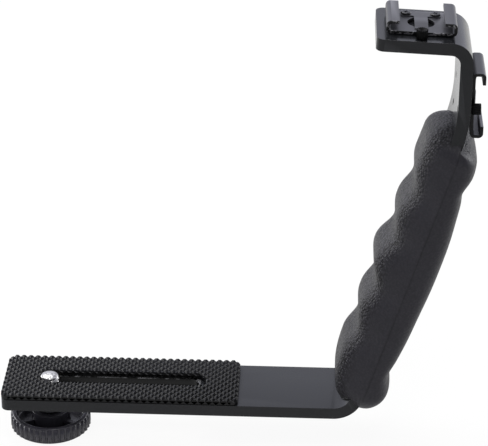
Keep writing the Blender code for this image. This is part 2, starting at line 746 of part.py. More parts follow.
def make_spring(side, place):
    """T-shaped leaf: a flat bar under the fixing screws and a bowed tongue over the window."""
    half_bar = SPRING_BAR_WIDTH / 2
    far = FIX_PLACE + SPRING_BAR_LENGTH / 2
    near = FIX_PLACE - SPRING_BAR_LENGTH / 2
    half_tongue = SPRING_TONGUE_WIDTH / 2
    profile = []
    for index in range(SPRING_STEPS + 1):
        share = index / SPRING_STEPS
        lift = SPRING_BOW * math.sin(math.pi * share) ** 2
        profile.append((near - SPRING_TONGUE_LENGTH * share, SPRING_BOTTOM + lift))
    top = [(v, w + SPRING_SHEET) for v, w in reversed(profile)]
    outline = [(far, SPRING_BOTTOM)] + profile + top + [(far, SPRING_TOP)]
    shape = prism(outline, -half_bar, half_bar, axis="X")
    spring = new_object(side + "_spring", shape, shoe_enamel(), place)
    for index, sign in enumerate((-1, 1)):
        low, high = sorted((sign * half_tongue, sign * (half_bar + OVERRUN)))
        trim = prism(rectangle(low, high, near - SPRING_TONGUE_LENGTH - OVERRUN, near),
                     SPRING_BOTTOM - OVERRUN, SPRING_TOP + OVERRUN)
        cut_away(spring, trim, "guide_spring_trim_%s_%d" % (side, index + 1), place)
        hole = prism(circle(FIX_DIAMETER / 2 + RUN_GAP, SMALL_ROUND_STEPS,
                            (sign * FIX_SPACING / 2, FIX_PLACE)),
                     SPRING_BOTTOM - OVERRUN, SPRING_TOP + OVERRUN)
        cut_away(spring, hole, "guide_spring_hole_%s_%d" % (side, index + 1), place)
    return spring


def make_fixing_screws(side, place):
    """The two pan-headed screws that hold one shoe and its spring."""
    head = FIX_HEAD_DIAMETER / 2
    shank = FIX_DIAMETER / 2
    bottom = SPRING_TOP + SHEET_GAP
    outline = [(shank, bottom - FIX_LENGTH), (shank, bottom), (head, bottom),
               (head, bottom + FIX_HEAD_HEIGHT / 2), (head / 2, bottom + FIX_HEAD_HEIGHT)]
    for number, along in enumerate((-FIX_SPACING / 2, FIX_SPACING / 2)):
        seat = place @ Matrix.Translation((along, FIX_PLACE, 0))
        new_object("%s_fixing_screw_%d" % (side, number + 1),
                   turned(outline, SMALL_ROUND_STEPS), black_steel(), seat)


def make_stop(side, place):
    """Knurled head pressed on a threaded stud; both stand on the stud's axis."""
    axis = place @ Matrix.Translation((0, -STOP_PLACE, 0))
    points = 2 * STOP_KNURLS
    outer = STOP_HEAD_DIAMETER / 2
    stud = STOP_STUD_DIAMETER / 2

    def knurled(angle):
        groove = round(angle / (2 * math.pi) * points) % 2
        return outer - STOP_KNURL_DEPTH * groove

    plain = outer - STOP_KNURL_DEPTH - STOP_HEAD_CHAMFER
    bore = stud + RUN_GAP
    top = STOP_HEAD_HEIGHT
    socket = STOP_SOCKET_DEPTH + SHEET_GAP
    outline = [(bore, socket), (bore, 0), (plain, 0), (knurled, STOP_HEAD_CHAMFER),
               (knurled, top - STOP_HEAD_CHAMFER), (plain, top)]
    new_object(side + "_stop_knob", turned(outline, points), black_steel(), axis)

    chamfer = stud / 4
    bottom = STOP_SOCKET_DEPTH - STOP_STUD_LENGTH
    stud_outline = [(stud - chamfer, bottom), (stud, bottom + chamfer),
                    (stud, STOP_SOCKET_DEPTH)]
    new_object(side + "_stop_stud", turned(stud_outline, SMALL_ROUND_STEPS), bright_steel(),
               axis)


def main():
    clear_scene()
    make_bar()
    make_pad()
    make_grip()
    axis = bpy.data.objects.new("camera_screw_axis", None)
    axis.location = (SCREW_X, 0, 0)
    bpy.context.scene.collection.objects.link(axis)
    make_knob(axis)
    for made in (make_camera_screw(), make_screw_washer(), make_slot_runner()):
        made.parent = axis
    for side, place in (("top", top_shoe_frame()), ("side", side_shoe_frame())):
        make_shoe(side, place)
        make_spring(side, place)
        make_fixing_screws(side, place)
        make_stop(side, place)
    bpy.context.view_layer.update()


main()
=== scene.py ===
import math

import bmesh
import bpy
from mathutils import Matrix, Vector


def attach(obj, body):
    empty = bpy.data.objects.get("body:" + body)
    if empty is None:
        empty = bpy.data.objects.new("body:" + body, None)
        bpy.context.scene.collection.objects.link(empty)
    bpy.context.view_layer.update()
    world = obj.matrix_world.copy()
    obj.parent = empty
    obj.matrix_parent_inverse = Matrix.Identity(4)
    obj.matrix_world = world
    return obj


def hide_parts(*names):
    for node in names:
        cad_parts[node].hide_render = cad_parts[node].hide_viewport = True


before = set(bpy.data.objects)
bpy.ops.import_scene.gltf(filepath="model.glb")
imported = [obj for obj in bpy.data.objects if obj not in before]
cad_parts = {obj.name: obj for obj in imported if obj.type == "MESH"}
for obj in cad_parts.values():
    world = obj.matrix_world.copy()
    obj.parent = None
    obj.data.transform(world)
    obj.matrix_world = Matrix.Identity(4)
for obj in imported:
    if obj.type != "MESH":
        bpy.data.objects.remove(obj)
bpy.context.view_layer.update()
mm = 0.001
print("frame loaded with", len(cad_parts), "nodes")


def hexColour(code):  # colours are written as sRGB hex and turned linear here
    parts = [int(code[place:place + 2], 16) / 255 for place in (1, 3, 5)]
    linear = [part / 12.92 if part <= 0.04045 else ((part + 0.055) / 1.055) ** 2.4
              for part in parts]
    return (*linear, 1.0)


def addNode(tree, kind, sets=None, inputs=None):
    # an output given as an input is linked, a list of them one by one, and a value is set
    node = tree.nodes.new(kind)
    for name, value in (sets or {}).items():
        setattr(node, name, value)
    for name, given in (inputs or {}).items():
        for value in given if isinstance(given, list) else [given]:
            if isinstance(value, bpy.types.NodeSocket):
                tree.links.new(value, node.inputs[name])
            else:
                node.inputs[name].default_value = value
    return node


# materials: every finish has two tones in patches, a fine grain, and often edges coloured lighter:
# wear, and on the screws, washer and shoes also a painted highlight

def startFinish(name, look):
    made = bpy.data.materials.new(name)
    made.use_nodes = True
    tree = made.node_tree
    place = addNode(tree, "ShaderNodeTexCoord").outputs["Object"]
    noises = [addNode(tree, "ShaderNodeTexNoise", inputs={
        "Vector": place, "Scale": 1 / size, "Detail": detail, "Distortion": twist}).outputs["Fac"]
        for size, detail, twist in (look[kind] for kind in ("patch", "grain") if kind in look)]
    return made, tree, place, noises


def layColour(tree, colour, share):  # over what the shader's colour already is
    base = tree.nodes["Principled BSDF"].inputs["Base Color"]
    over = addNode(tree, "ShaderNodeMix", {"data_type": "RGBA"}, {
        0: share, 6: base.links[0].from_socket, 7: hexColour(colour)})
    tree.links.new(over.outputs[2], base)


def endFinish(tree, look, toneShare, glossShare, height):
    shader = tree.nodes["Principled BSDF"].inputs
    shader["Metallic"].default_value = look.get("metallic", 0.0)
    shader["Specular IOR Level"].default_value = look.get("specular", 0.5)
    first, second = look["tones"]
    tone = addNode(tree, "ShaderNodeMix", {"data_type": "RGBA"}, {
        0: toneShare, 6: hexColour(first), 7: hexColour(second)})
    tree.links.new(tone.outputs[2], shader["Base Color"])
    # edges coloured lighter: wear on the bar, a painted highlight on the screws and washer, both on
    # the shoes
    if "edgeWearAndGlint" in look:
        edges = addNode(tree, "ShaderNodeMapRange", inputs={
            "Value": addNode(tree, "ShaderNodeNewGeometry").outputs["Pointiness"],
            "From Min": look["edges"][0], "From Max": look["edges"][1]})
        layColour(tree, look["edgeWearAndGlint"], edges.outputs["Result"])
    gloss = addNode(tree, "ShaderNodeMapRange", inputs={
        "Value": glossShare, "To Min": look["roughness"][0], "To Max": look["roughness"][1]})
    tree.links.new(gloss.outputs["Result"], shader["Roughness"])
    bump = addNode(tree, "ShaderNodeBump", inputs={
        "Height": height, "Strength": look["strength"], "Distance": look["depth"]})
    tree.links.new(bump.outputs["Normal"], shader["Normal"])
    return shader


def maskWhere(tree, tests):
    # 1 where every test on a value holds; a share joins in with MULTIPLY
    share = 1.0
    for value, operation, limit in tests:
        holds = addNode(tree, "ShaderNodeMath", {"operation": operation}, {0: value, 1: limit})
        share = addNode(tree, "ShaderNodeMath", {"operation": "MULTIPLY"},
                        {0: share, 1: holds.outputs[0]}).outputs[0]
    return share


def blotches(tree, place, size, detail, low, high):
    noise = addNode(tree, "ShaderNodeTexNoise", inputs={
        "Vector": place, "Scale": 1 / size, "Detail": detail})
    return addNode(tree, "ShaderNodeMapRange", inputs={
        "Value": noise.outputs["Fac"], "From Min": low, "From Max": high}).outputs["Result"]


# Baked black enamel on mild steel, sprayed: satin gloss with a faint orange peel, and
# slightly greyed where hands and cases have worn the edges.
def bakedEnamel():
    look = {"tones": ("#111215", "#17181B"), "patch": (22 * mm, 2, 0), "grain": (0.9 * mm, 3, 0),
            "edgeWearAndGlint": "#2A2B2E", "edges": (0.51, 0.57), "roughness": (0.16, 0.26),
            "specular": 0.35, "depth": 0.004 * mm, "strength": 0.5, "slotShade": "#0C0C0E",
            "wall": 0.25 * mm, "beyond": 4 * mm, "bareAndGlint": "#A8A8AC", "bareFrom": 3.62 * mm,
            "scrape": (2.2 * mm, 4, 0.42, 0.7)}
    made, tree, place, (patch, grain) = startFinish("bakedBlackEnamel", look)
    shader = endFinish(tree, look, patch, patch, grain)
    # the slot's walls are painted darker: painted shade, where little light reaches in the slot
    parts = addNode(tree, "ShaderNodeSeparateXYZ", inputs={"Vector": place}).outputs
    half = screwSize["slotWidth"] / 2 + look["wall"]
    end = screwSize["x"] + screwSize["travel"] + look["beyond"]
    onWalls = maskWhere(tree, [(parts["Y"], "LESS_THAN", half), (parts["Y"], "GREATER_THAN", -half),
                               (parts["X"], "LESS_THAN", end)])
    # the sliding screw has scraped their upper edge bare in places; these bare scrapes are also a
    # painted highlight, standing in for the edge's glints
    scrapesAndGlints = maskWhere(tree, [(parts["Z"], "GREATER_THAN", look["bareFrom"]),
                               (onWalls, "MULTIPLY", blotches(tree, place, *look["scrape"]))])
    layColour(tree, look["slotShade"], onWalls)
    layColour(tree, look["bareAndGlint"], scrapesAndGlints)
    tree.links.new(scrapesAndGlints, shader["Metallic"])
    return made


# Thinner stoved enamel on bent sheet: grey and flatter than the bar's, with a fine grain; its edges
# are coloured lighter, for wear and as a painted highlight.
def stovedEnamel():
    look = {"tones": ("#333338", "#3D3D42"), "patch": (6 * mm, 2, 0), "grain": (0.35 * mm, 4, 0),
            "edgeWearAndGlint": "#74747A", "edges": (0.53, 0.62), "roughness": (0.3, 0.44), "metallic": 0.2,
            "specular": 0.42, "depth": 0.012 * mm, "strength": 0.6, "sheared": 0.07 * mm,
            "shadedCut": "#0E0E10", "bareAndGlint": "#9C9CA0", "dash": (1.1 * mm, 2, 0.52, 0.6),
            "dashFrom": 125 * mm}
    made, tree, place, (patch, grain) = startFinish("stovedGreyEnamel", look)
    shader = endFinish(tree, look, patch, grain, grain)
    # the sheared near face is painted dark: painted shade, as little light reaches it from the
    # front
    parts = addNode(tree, "ShaderNodeSeparateXYZ", inputs={"Vector": place}).outputs
    sheared = maskWhere(tree, [(parts["Y"], "LESS_THAN", look["sheared"] - shoeSize["near"])])
    # bare dashes on the top shoe's near face: chipped enamel, and also painted glints along that
    # edge
    dashes = maskWhere(tree, [(parts["Z"], "GREATER_THAN", look["dashFrom"]),
                              (sheared, "MULTIPLY", blotches(tree, place, *look["dash"]))])
    layColour(tree, look["shadedCut"], sheared)
    layColour(tree, look["bareAndGlint"], dashes)
    metal = addNode(tree, "ShaderNodeMath", {"operation": "MAXIMUM"},
                    {0: dashes, 1: look["metallic"]})
    tree.links.new(metal.outputs[0], shader["Metallic"])
    return made


# Soft thermoplastic rubber of the grip, moulded in a spark-eroded tool: a pebbled skin of
# under a millimetre where the hand closes round it, worn smoother on both flanks.
def gripRubber():
    look = {"tones": ("#343339", "#131216"), "patch": (5 * mm, 3, 0), "grain": (0.3 * mm, 3, 0),
            "pebble": 0.8 * mm, "softness": 0.2, "depth": 0.36 * mm, "strength": 1.0,
            "grainShare": 0.5, "patchShare": 0.25, "pitShade": (0.34, 0.78), "smooth": "#302F35",
            "flank": (10.5 * mm, 14.5 * mm), "flankWear": 0.82, "roughness": (0.38, 0.5),
            "specular": 0.24, "seam": "#222125", "seamHalf": 0.2 * mm}
    made, tree, place, (patch, grain) = startFinish("pebbledGripRubber", look)
    pebble = addNode(tree, "ShaderNodeTexVoronoi", {"feature": "SMOOTH_F1"}, {
        "Vector": place, "Scale": 1 / look["pebble"],
        "Smoothness": look["softness"]}).outputs["Distance"]
    parts = addNode(tree, "ShaderNodeSeparateXYZ", inputs={"Vector": place}).outputs
    aside = addNode(tree, "ShaderNodeMath", {"operation": "ABSOLUTE"}, {0: parts["Y"]})
    worn = addNode(tree, "ShaderNodeMapRange", {"interpolation_type": "SMOOTHSTEP"}, {
        "Value": aside.outputs[0], "From Min": look["flank"][0], "From Max": look["flank"][1],
        "To Max": look["flankWear"]}).outputs["Result"]
    kept = addNode(tree, "ShaderNodeMath", {"operation": "SUBTRACT"}, {0: 1.0, 1: worn})
    height = grain
    for operation, other in (("MULTIPLY", look["grainShare"]), ("SUBTRACT", pebble),
                             ("MULTIPLY", kept.outputs[0])):
        height = addNode(tree, "ShaderNodeMath", {"operation": operation},
                         {0: height, 1: other}).outputs[0]
    # the hollows between pebbles are coloured darker, toward the second tone: painted shade in the
    # skin's pits
    uneven = addNode(tree, "ShaderNodeMath", {"operation": "MULTIPLY_ADD"},
                     {0: patch, 1: look["patchShare"], 2: pebble})
    pitShade = addNode(tree, "ShaderNodeMapRange", inputs={
        "Value": uneven.outputs[0], "From Min": look["pitShade"][0], "From Max": look["pitShade"][1]})
    endFinish(tree, look, pitShade.outputs["Result"], pebble, height)
    layColour(tree, look["smooth"], worn)
    # the mould's parting line runs down the middle of both flanks, coloured as a dark line: painted
    # shade of its shallow groove
    lean = barSize["lean"]
    ahead = addNode(tree, "ShaderNodeVectorMath", {"operation": "DOT_PRODUCT"}, {
        0: place, 1: (math.cos(lean), 0.0, -math.sin(lean))}).outputs["Value"]
    middle = gripSize["start"] * math.cos(lean)
    layColour(tree, look["seam"], maskWhere(tree, [
        (ahead, "LESS_THAN", middle + look["seamHalf"]),
        (ahead, "GREATER_THAN", middle - look["seamHalf"]), (patch, "MULTIPLY", 1.0)]))
    return made


# Nickel-plated steel, turned on a lathe: bright, with tool marks round the screw's axis. Real
# ones are 0.1 to 0.2 mm apart; these are drawn ten times as coarse, so that they show.
def platedSteel():
    look = {"tones": ("#C2C1BF", "#5A5958"), "patch": (0.8 * mm, 4, 0), "pitted": (0.5, 0.68),
            "roughness": (0.2, 0.45), "metallic": 1.0, "mark": 1.6215 * mm, "markTwist": 0.6,
            "markDetail": 2.0, "depth": 0.015 * mm, "strength": 0.4}
    made, tree, place, (smear,) = startFinish("turnedPlatedSteel", look)
    centred = addNode(tree, "ShaderNodeMapping", inputs={
        "Vector": place, "Location": (-screwSize["x"], 0.0, 0.0)})
    rings = addNode(tree, "ShaderNodeTexWave", {
        "wave_type": "RINGS", "rings_direction": "Z", "wave_profile": "SAW"}, {
        "Vector": centred.outputs["Vector"], "Distortion": look["markTwist"],
        "Detail": look["markDetail"],
        "Scale": math.pi / 10 / look["mark"]})  # at scale 1 the rings are a tenth of pi apart
    pitted = addNode(tree, "ShaderNodeMapRange", inputs={
        "Value": smear, "From Min": look["pitted"][0], "From Max": look["pitted"][1]})
    endFinish(tree, look, pitted.outputs["Result"], smear, rings.outputs["Fac"])
    return made


plainLooks = {
    # Moulded rubber of the seat pad: black, with a dull sheen on the pyramids' flanks.
    "pad": ("mouldedPadRubber", {
        "tones": ("#0B0B0D", "#131315"), "patch": (9 * mm, 3, 0), "grain": (0.5 * mm, 4, 0),
        "roughness": (0.24, 0.32), "specular": 0.33, "depth": 0.015 * mm, "strength": 0.5}),
    # Moulded ABS of the thumb wheel: satin, with faint flow marks.
    "wheel": ("mouldedWheelPlastic", {
        "tones": ("#33323A", "#3B3A42"), "patch": (3 * mm, 2, 1.2), "grain": (0.3 * mm, 2, 0),
        "roughness": (0.2, 0.3), "specular": 0.55, "depth": 0.008 * mm, "strength": 0.4}),
    # Oil-blackened steel of the small screws: nearly black, with a soft painted glint: the edges
    # are coloured lighter.
    "smallScrew": ("oilBlackenedSteel", {
        "tones": ("#1C1C1F", "#28282B"), "patch": (0.8 * mm, 3, 0), "edgeWearAndGlint": "#3E3E42",
        "edges": (0.54, 0.65), "roughness": (0.2, 0.32), "specular": 0.4, "depth": 0.01 * mm,
        "strength": 0.4}),
    # Knurled stop heads: the same blackening over cut teeth, left dull.
    "stopHead": ("dullBlackKnurl", {
        "tones": ("#060607", "#0E0E0F"), "patch": (0.6 * mm, 3, 0), "roughness": (0.45, 0.65),
        "specular": 0.12, "depth": 0.01 * mm, "strength": 0.4}),
    # Steel of the washer, coloured dark, with a painted highlight: a thin bright line along its
    # turned edge.
    "washer": ("darkWasherSteel", {
        "tones": ("#4A4A4D", "#6A6A6E"), "patch": (1.2 * mm, 3, 0), "edgeWearAndGlint": "#A0A0A2",
        "edges": (0.55, 0.7), "roughness": (0.24, 0.36), "metallic": 1.0, "depth": 0.01 * mm,
        "strength": 0.3}),
    # Natural nylon of the ring in the slot: milky and slightly waxy.
    "nylon": ("naturalNylon", {
        "tones": ("#C9C5B8", "#BDB8A9"), "patch": (1.5 * mm, 2, 0), "roughness": (0.38, 0.52),
        "depth": 0.02 * mm, "strength": 0.3}),
}


def plainFinish(name, look):
    made, tree, _, noises = startFinish(name, look)
    endFinish(tree, look, noises[0], noises[0], noises[-1])
    return made


# making and finishing meshes

def arcPoints(centre, radius, start, end, steps):
    turns = [start + (end - start) * step / steps for step in range(steps + 1)]
    return [(centre[0] + radius * math.cos(turn), centre[1] + radius * math.sin(turn))
            for turn in turns]


def roundedOutline(lowA, highA, lowB, highB, radius, steps):
    quarter = math.pi / 2
    points = []
    for a, b, turn in ((highA - radius, highB - radius, 0), (lowA + radius, highB - radius, 1),
                       (lowA + radius, lowB + radius, 2), (highA - radius, lowB + radius, 3)):
        points += arcPoints((a, b), radius, turn * quarter, (turn + 1) * quarter, steps)
    return points


def slotOutline(start, end, width, steps=24):
    half = math.pi / 2
    return (arcPoints((end, 0), width / 2, -half, half, steps)
            + arcPoints((start, 0), width / 2, half, 3 * half, steps))


def roundOutline(centre, radius, steps):
    return arcPoints(centre, radius, 0, 2 * math.pi * (steps - 1) / steps, steps - 1)


def loftRings(rings, closed=False):
    shape = bmesh.new()
    rows = [[shape.verts.new(point) for point in ring] for ring in rings]
    for first, second in list(zip(rows, rows[1:])) + ([(rows[-1], rows[0])] if closed else []):
        for here in range(len(first)):
            after = (here + 1) % len(first)
            shape.faces.new((first[here], first[after], second[after], second[here]))
    if not closed:
        shape.faces.new(list(reversed(rows[0])))
        shape.faces.new(rows[-1])
    return shape


def raisedOutline(outline, low, high, along="Z"):
    turnTo = {"Z": lambda a, b, h: (a, b, h), "Y": lambda a, b, h: (a, h, b),
              "X": lambda a, b, h: (h, a, b)}[along]
    return loftRings([[Vector(turnTo(a, b, height)) for a, b in outline]
                      for height in (low, high)])


def latheRings(profile, steps, closed=False):
    return loftRings([[Vector((a, b, height)) for a, b in roundOutline((0, 0), radius, steps)]
                      for radius, height in profile], closed)


def meshFrom(shape, name, place=None):
    bmesh.ops.recalc_face_normals(shape, faces=shape.faces)
    if place:
        bmesh.ops.transform(shape, matrix=place, verts=shape.verts)
    mesh = bpy.data.meshes.new(name)
    shape.to_mesh(mesh)
    shape.free()
    return mesh


def looseObject(name, mesh):
    made = bpy.data.objects.new(name, mesh)
    bpy.context.scene.collection.objects.link(made)
    return made


def bakeModifiers(made):
    graph = bpy.context.evaluated_depsgraph_get()
    baked = bpy.data.meshes.new_from_object(made.evaluated_get(graph))
    made.modifiers.clear()
    made.data = baked
    return made


def joinOrCut(made, others, operation="DIFFERENCE"):
    for other in others:
        work = made.modifiers.new("work", "BOOLEAN")
        work.operation, work.solver, work.object = operation, "EXACT", other
    bakeModifiers(made)
    for other in others:
        bpy.data.objects.remove(other, do_unlink=True)
    return made


def cutShapes(made, shapes, place=None):
    return joinOrCut(made, [looseObject("cutter", meshFrom(shape, "cutter", place))
                            for shape in shapes])


def softenEdges(made, width, segments=3, limit=30):
    bevel = made.modifiers.new("edges", "BEVEL")
    bevel.width, bevel.segments = width, segments
    bevel.limit_method, bevel.angle_limit = "ANGLE", math.radians(limit)
    return bakeModifiers(made)


def smoothTo(made, sharp):
    made.data.shade_smooth()
    made.data.set_sharp_from_angle(angle=math.radians(sharp))


def enterPiece(made, body, node):
    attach(made, body)
    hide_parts(node)
    return made


def finishPiece(made, finish, body, node, sharp=35):
    made.data.materials.clear()
    made.data.materials.append(finishes[finish])
    smoothTo(made, sharp)
    even = made.modifiers.new("evenNormals", "WEIGHTED_NORMAL")
    even.keep_sharp = True
    return enterPiece(bakeModifiers(made), body, node)


def startTree(name, inputs):
    tree = bpy.data.node_groups.new(name, "GeometryNodeTree")
    tree.interface.new_socket("Geometry", in_out="INPUT", socket_type="NodeSocketGeometry")
    for label, kind in inputs.items():
        tree.interface.new_socket(label, in_out="INPUT", socket_type="NodeSocket" + kind)
    tree.interface.new_socket("Geometry", in_out="OUTPUT", socket_type="NodeSocketGeometry")
    return tree, addNode(tree, "NodeGroupInput").outputs


def endTree(tree, geometry, finish):
    solid = addNode(tree, "GeometryNodeRealizeInstances", inputs={"Geometry": geometry})
    coated = addNode(tree, "GeometryNodeSetMaterial", inputs={
        "Geometry": solid.outputs["Geometry"], "Material": finish})
    addNode(tree, "NodeGroupOutput", inputs={"Geometry": coated.outputs["Geometry"]})
    return tree


def runTree(made, tree, values):
    run = made.modifiers.new(tree.name, "NODES")
    run.node_group = tree
    for item in tree.interface.items_tree:
        if item.in_out == "INPUT" and item.name in values:
            run[item.identifier] = values[item.name]
    return bakeModifiers(made)


# upright ridges round an axis, for the wheel's flutes and the stop heads' knurls

def ridgeTree():
    tree, given = startTree("uprightRidges", {
        "Count": "Int", "Circle radius": "Float", "Ridge radius": "Float", "Ridge height": "Float",
        "Middle": "Vector", "Turn": "Vector", "Finish": "Material"})
    circle = addNode(tree, "GeometryNodeMeshCircle", inputs={
        "Vertices": given["Count"], "Radius": given["Circle radius"]})
    ridge = addNode(tree, "GeometryNodeMeshCylinder", inputs={
        "Vertices": 10, "Side Segments": 1, "Radius": given["Ridge radius"],
        "Depth": given["Ridge height"]})
    copies = addNode(tree, "GeometryNodeInstanceOnPoints", inputs={
        "Points": circle.outputs["Mesh"], "Instance": ridge.outputs["Mesh"]})
    solid = addNode(tree, "GeometryNodeRealizeInstances", inputs={
        "Geometry": copies.outputs["Instances"]})
    placed = addNode(tree, "GeometryNodeTransform", inputs={
        "Geometry": solid.outputs["Geometry"], "Translation": given["Middle"],
        "Rotation": given["Turn"]})
    smooth = addNode(tree, "GeometryNodeSetShadeSmooth", inputs={
        "Geometry": placed.outputs["Geometry"]})
    both = addNode(tree, "GeometryNodeJoinGeometry", inputs={
        "Geometry": [given["Geometry"], smooth.outputs["Geometry"]]})
    return endTree(tree, both.outputs["Geometry"], given["Finish"])


# flat bar: one section swept along the bent centre line, then trimmed and pierced

barSize = {
    "width": 26.4 * mm, "thickness": 4.0 * mm, "edge": 0.3 * mm, "corner": 2.6 * mm,
    "freeEnd": -94.4 * mm, "baseLength": 110.4 * mm, "lowerBend": 8.0 * mm,
    "lean": math.radians(17.0), "slantLength": 95.6 * mm, "upperBend": 50.5 * mm,
    "uprightLength": 14.0 * mm, "topBend": 5.0 * mm, "armRise": math.radians(2.5),
    "armLength": 23.1 * mm, "bendStep": math.radians(2.5), "straightStep": 12.0 * mm,
}


def barStretches():  # length and turn of each stretch of the centre line
    lowerTurn = math.pi / 2 - barSize["lean"]
    topTurn = math.pi / 2 - barSize["armRise"]
    return [(barSize["baseLength"], 0), (barSize["lowerBend"] * lowerTurn, lowerTurn),
            (barSize["slantLength"], 0), (barSize["upperBend"] * barSize["lean"], barSize["lean"]),
            (barSize["uprightLength"], 0), (barSize["topBend"] * topTurn, topTurn),
            (barSize["armLength"], 0)]


def barLength(count=None):
    return sum(length for length, turn in barStretches()[:count])


def barPoint(distance):
    x, z, heading = barSize["freeEnd"], barSize["thickness"] / 2, 0.0
    left = distance
    stretches = barStretches()
    for count, (length, turn) in enumerate(stretches):
        run = left if count == len(stretches) - 1 else min(left, length)
        if turn:
            radius = length / turn
            x += radius * (math.sin(heading + run / radius) - math.sin(heading))
            z += radius * (math.cos(heading) - math.cos(heading + run / radius))
            heading += run / radius
        else:
            x += run * math.cos(heading)
            z += run * math.sin(heading)
        left -= run
        if left <= 0:
            break
    return x, z, heading


def barPlaces(start, end):
    places, walked = [start, end], 0.0
    for length, turn in barStretches():
        steps = math.ceil(turn / barSize["bendStep"] if turn else length / barSize["straightStep"])
        places += [walked + length * step / steps for step in range(steps + 1)]
        walked += length
    kept = []
    for place in sorted(place for place in places if start <= place <= end):
        if not kept or place - kept[-1] > 0.05 * mm:
            kept.append(place)
    return kept


def stripTree():
    tree, given = startTree("bentStrip", {
        "Width": "Float", "Thickness": "Float", "Finish": "Material"})
    path = addNode(tree, "GeometryNodeMeshToCurve", inputs={"Mesh": given["Geometry"]})
    level = addNode(tree, "GeometryNodeSetCurveNormal", {"mode": "FREE"}, {
        "Curve": path.outputs["Curve"], "Normal": (0.0, 1.0, 0.0)})
    section = addNode(tree, "GeometryNodeCurvePrimitiveQuadrilateral", inputs={
        "Width": given["Width"], "Height": given["Thickness"]})
    sweep = addNode(tree, "GeometryNodeCurveToMesh", inputs={
        "Curve": level.outputs["Curve"], "Profile Curve": section.outputs["Curve"],
        "Fill Caps": True})
    return endTree(tree, sweep.outputs["Mesh"], given["Finish"])


def bentStrip(name, start, end, grow, finish):
    points = [(x, 0.0, z) for x, z, heading in map(barPoint, barPlaces(start, end))]
    mesh = bpy.data.meshes.new(name)
    mesh.from_pydata(points, [(count, count + 1) for count in range(len(points) - 1)], [])
    return runTree(looseObject(name, mesh), strips, {
        "Width": barSize["width"] + 2 * grow, "Thickness": barSize["thickness"] + 2 * grow,
        "Finish": finishes[finish]})


def placeFrom(*columns):  # three axes and an origin
    place = Matrix.Identity(4)
    for count, column in enumerate(columns):
        place.col[count][:3] = column
    return place


def endPlace(distance, inward, side):
    x, z, heading = barPoint(distance)
    along = Vector((math.cos(heading), 0, math.sin(heading))) * inward
    across = Vector((0, -side, 0))
    return placeFrom(along, across, along.cross(across),
                     Vector((x, side * barSize["width"] / 2, z)))


def cornerOutline(radius, over=3 * mm):
    curve = arcPoints((radius, radius), radius, math.pi, 1.5 * math.pi, 12)
    return [(-over, -over), (-over, radius)] + curve + [(radius, -over)]


def makeBar():
    total = barLength()
    made = bentStrip("flatBar", 0.0, total, 0.0, "bar")
    for distance, inward in ((0.0, 1), (total, -1)):
        for side in (-1, 1):
            cutShapes(made, [raisedOutline(cornerOutline(barSize["corner"]), -6 * mm, 6 * mm)],
                      endPlace(distance, inward, side))
    start, end, ledge = screwSize["x"], screwSize["x"] + screwSize["travel"], screwSize["ledge"]
    slots = ((screwSize["slotWidth"], ledge, barSize["thickness"] + 3 * mm),
             (screwSize["neckSlotWidth"], -3 * mm, ledge + 1 * mm))
    cutShapes(made, [raisedOutline(slotOutline(start, end, width), low, high)
                     for width, low, high in slots])
    holes = [(spot, shoeSize["screwHole"]) for spot in fixingSpots()]
    holes.append(((0, -stopSize["place"]), stopSize["hole"]))
    for place in shoePlaces.values():
        cutShapes(made, [raisedOutline(roundOutline(spot, radius, 20), -8 * mm, 2 * mm)
                         for spot, radius in holes], place)
    flat = made.modifiers.new("flatFaces", "DECIMATE")  # one face where the sweep left many
    flat.decimate_type, flat.angle_limit = "DISSOLVE", math.radians(0.5)
    softenEdges(bakeModifiers(made), barSize["edge"])
    return finishPiece(made, "bar", "bracket", "bracket_bar", 25)


# seat pad: a rubber sheet with a field of small blunt pyramids, cut to its outline and slot

padSize = {
    "length": 78.8 * mm, "bottom": 4.3 * mm, "sheet": 1.0 * mm, "knurl": 0.7 * mm,
    "corner": 2.2 * mm, "slotWidth": 6.9 * mm, "slotExtra": 2.4 * mm, "pitchAlong": 2.4 * mm,
    "pitchAcross": 2.9 * mm, "tip": 0.8 * mm, "sunk": 0.03 * mm, "clearShare": 0.6,
}


def fromBox(tree, low, high):  # the way and the distance from a box's nearest point
    place = addNode(tree, "GeometryNodeInputPosition").outputs["Position"]
    nearest = place
    for operation, limit in (("MAXIMUM", low), ("MINIMUM", high)):
        nearest = addNode(tree, "ShaderNodeVectorMath", {"operation": operation},
                          {0: nearest, 1: limit}).outputs["Vector"]
    way = addNode(tree, "ShaderNodeVectorMath", {"operation": "SUBTRACT"},
                  {0: place, 1: nearest}).outputs["Vector"]
    away = addNode(tree, "ShaderNodeVectorMath", {"operation": "LENGTH"}, {0: way})
    return way, away.outputs["Value"]


def pullTo(tree, geometry, box, operation, distance, slope):
    # moves points to a distance from a box, and lowers them as a pyramid's flank falls that way
    way, away = fromBox(tree, *box)
    reach = addNode(tree, "ShaderNodeMath", {"operation": operation}, {0: away, 1: distance})
    change = addNode(tree, "ShaderNodeMath", {"operation": "SUBTRACT"},
                     {0: reach.outputs[0], 1: away}).outputs[0]
    amount = addNode(tree, "ShaderNodeMath", {"operation": "ABSOLUTE"}, {0: change})
    fall = addNode(tree, "ShaderNodeMath", {"operation": "MULTIPLY"},
                   {0: amount.outputs[0], 1: slope})
    unit = addNode(tree, "ShaderNodeVectorMath", {"operation": "NORMALIZE"}, {0: way})
    level = addNode(tree, "ShaderNodeVectorMath", {"operation": "SCALE"},
                    {0: unit.outputs["Vector"], "Scale": change})
    down = addNode(tree, "ShaderNodeCombineXYZ", inputs={"Z": fall.outputs[0]})
    offset = addNode(tree, "ShaderNodeVectorMath", {"operation": "SUBTRACT"},
                     {0: level.outputs["Vector"], 1: down.outputs["Vector"]})
    return addNode(tree, "GeometryNodeSetPosition", inputs={
        "Geometry": geometry, "Offset": offset.outputs["Vector"]}).outputs["Geometry"]


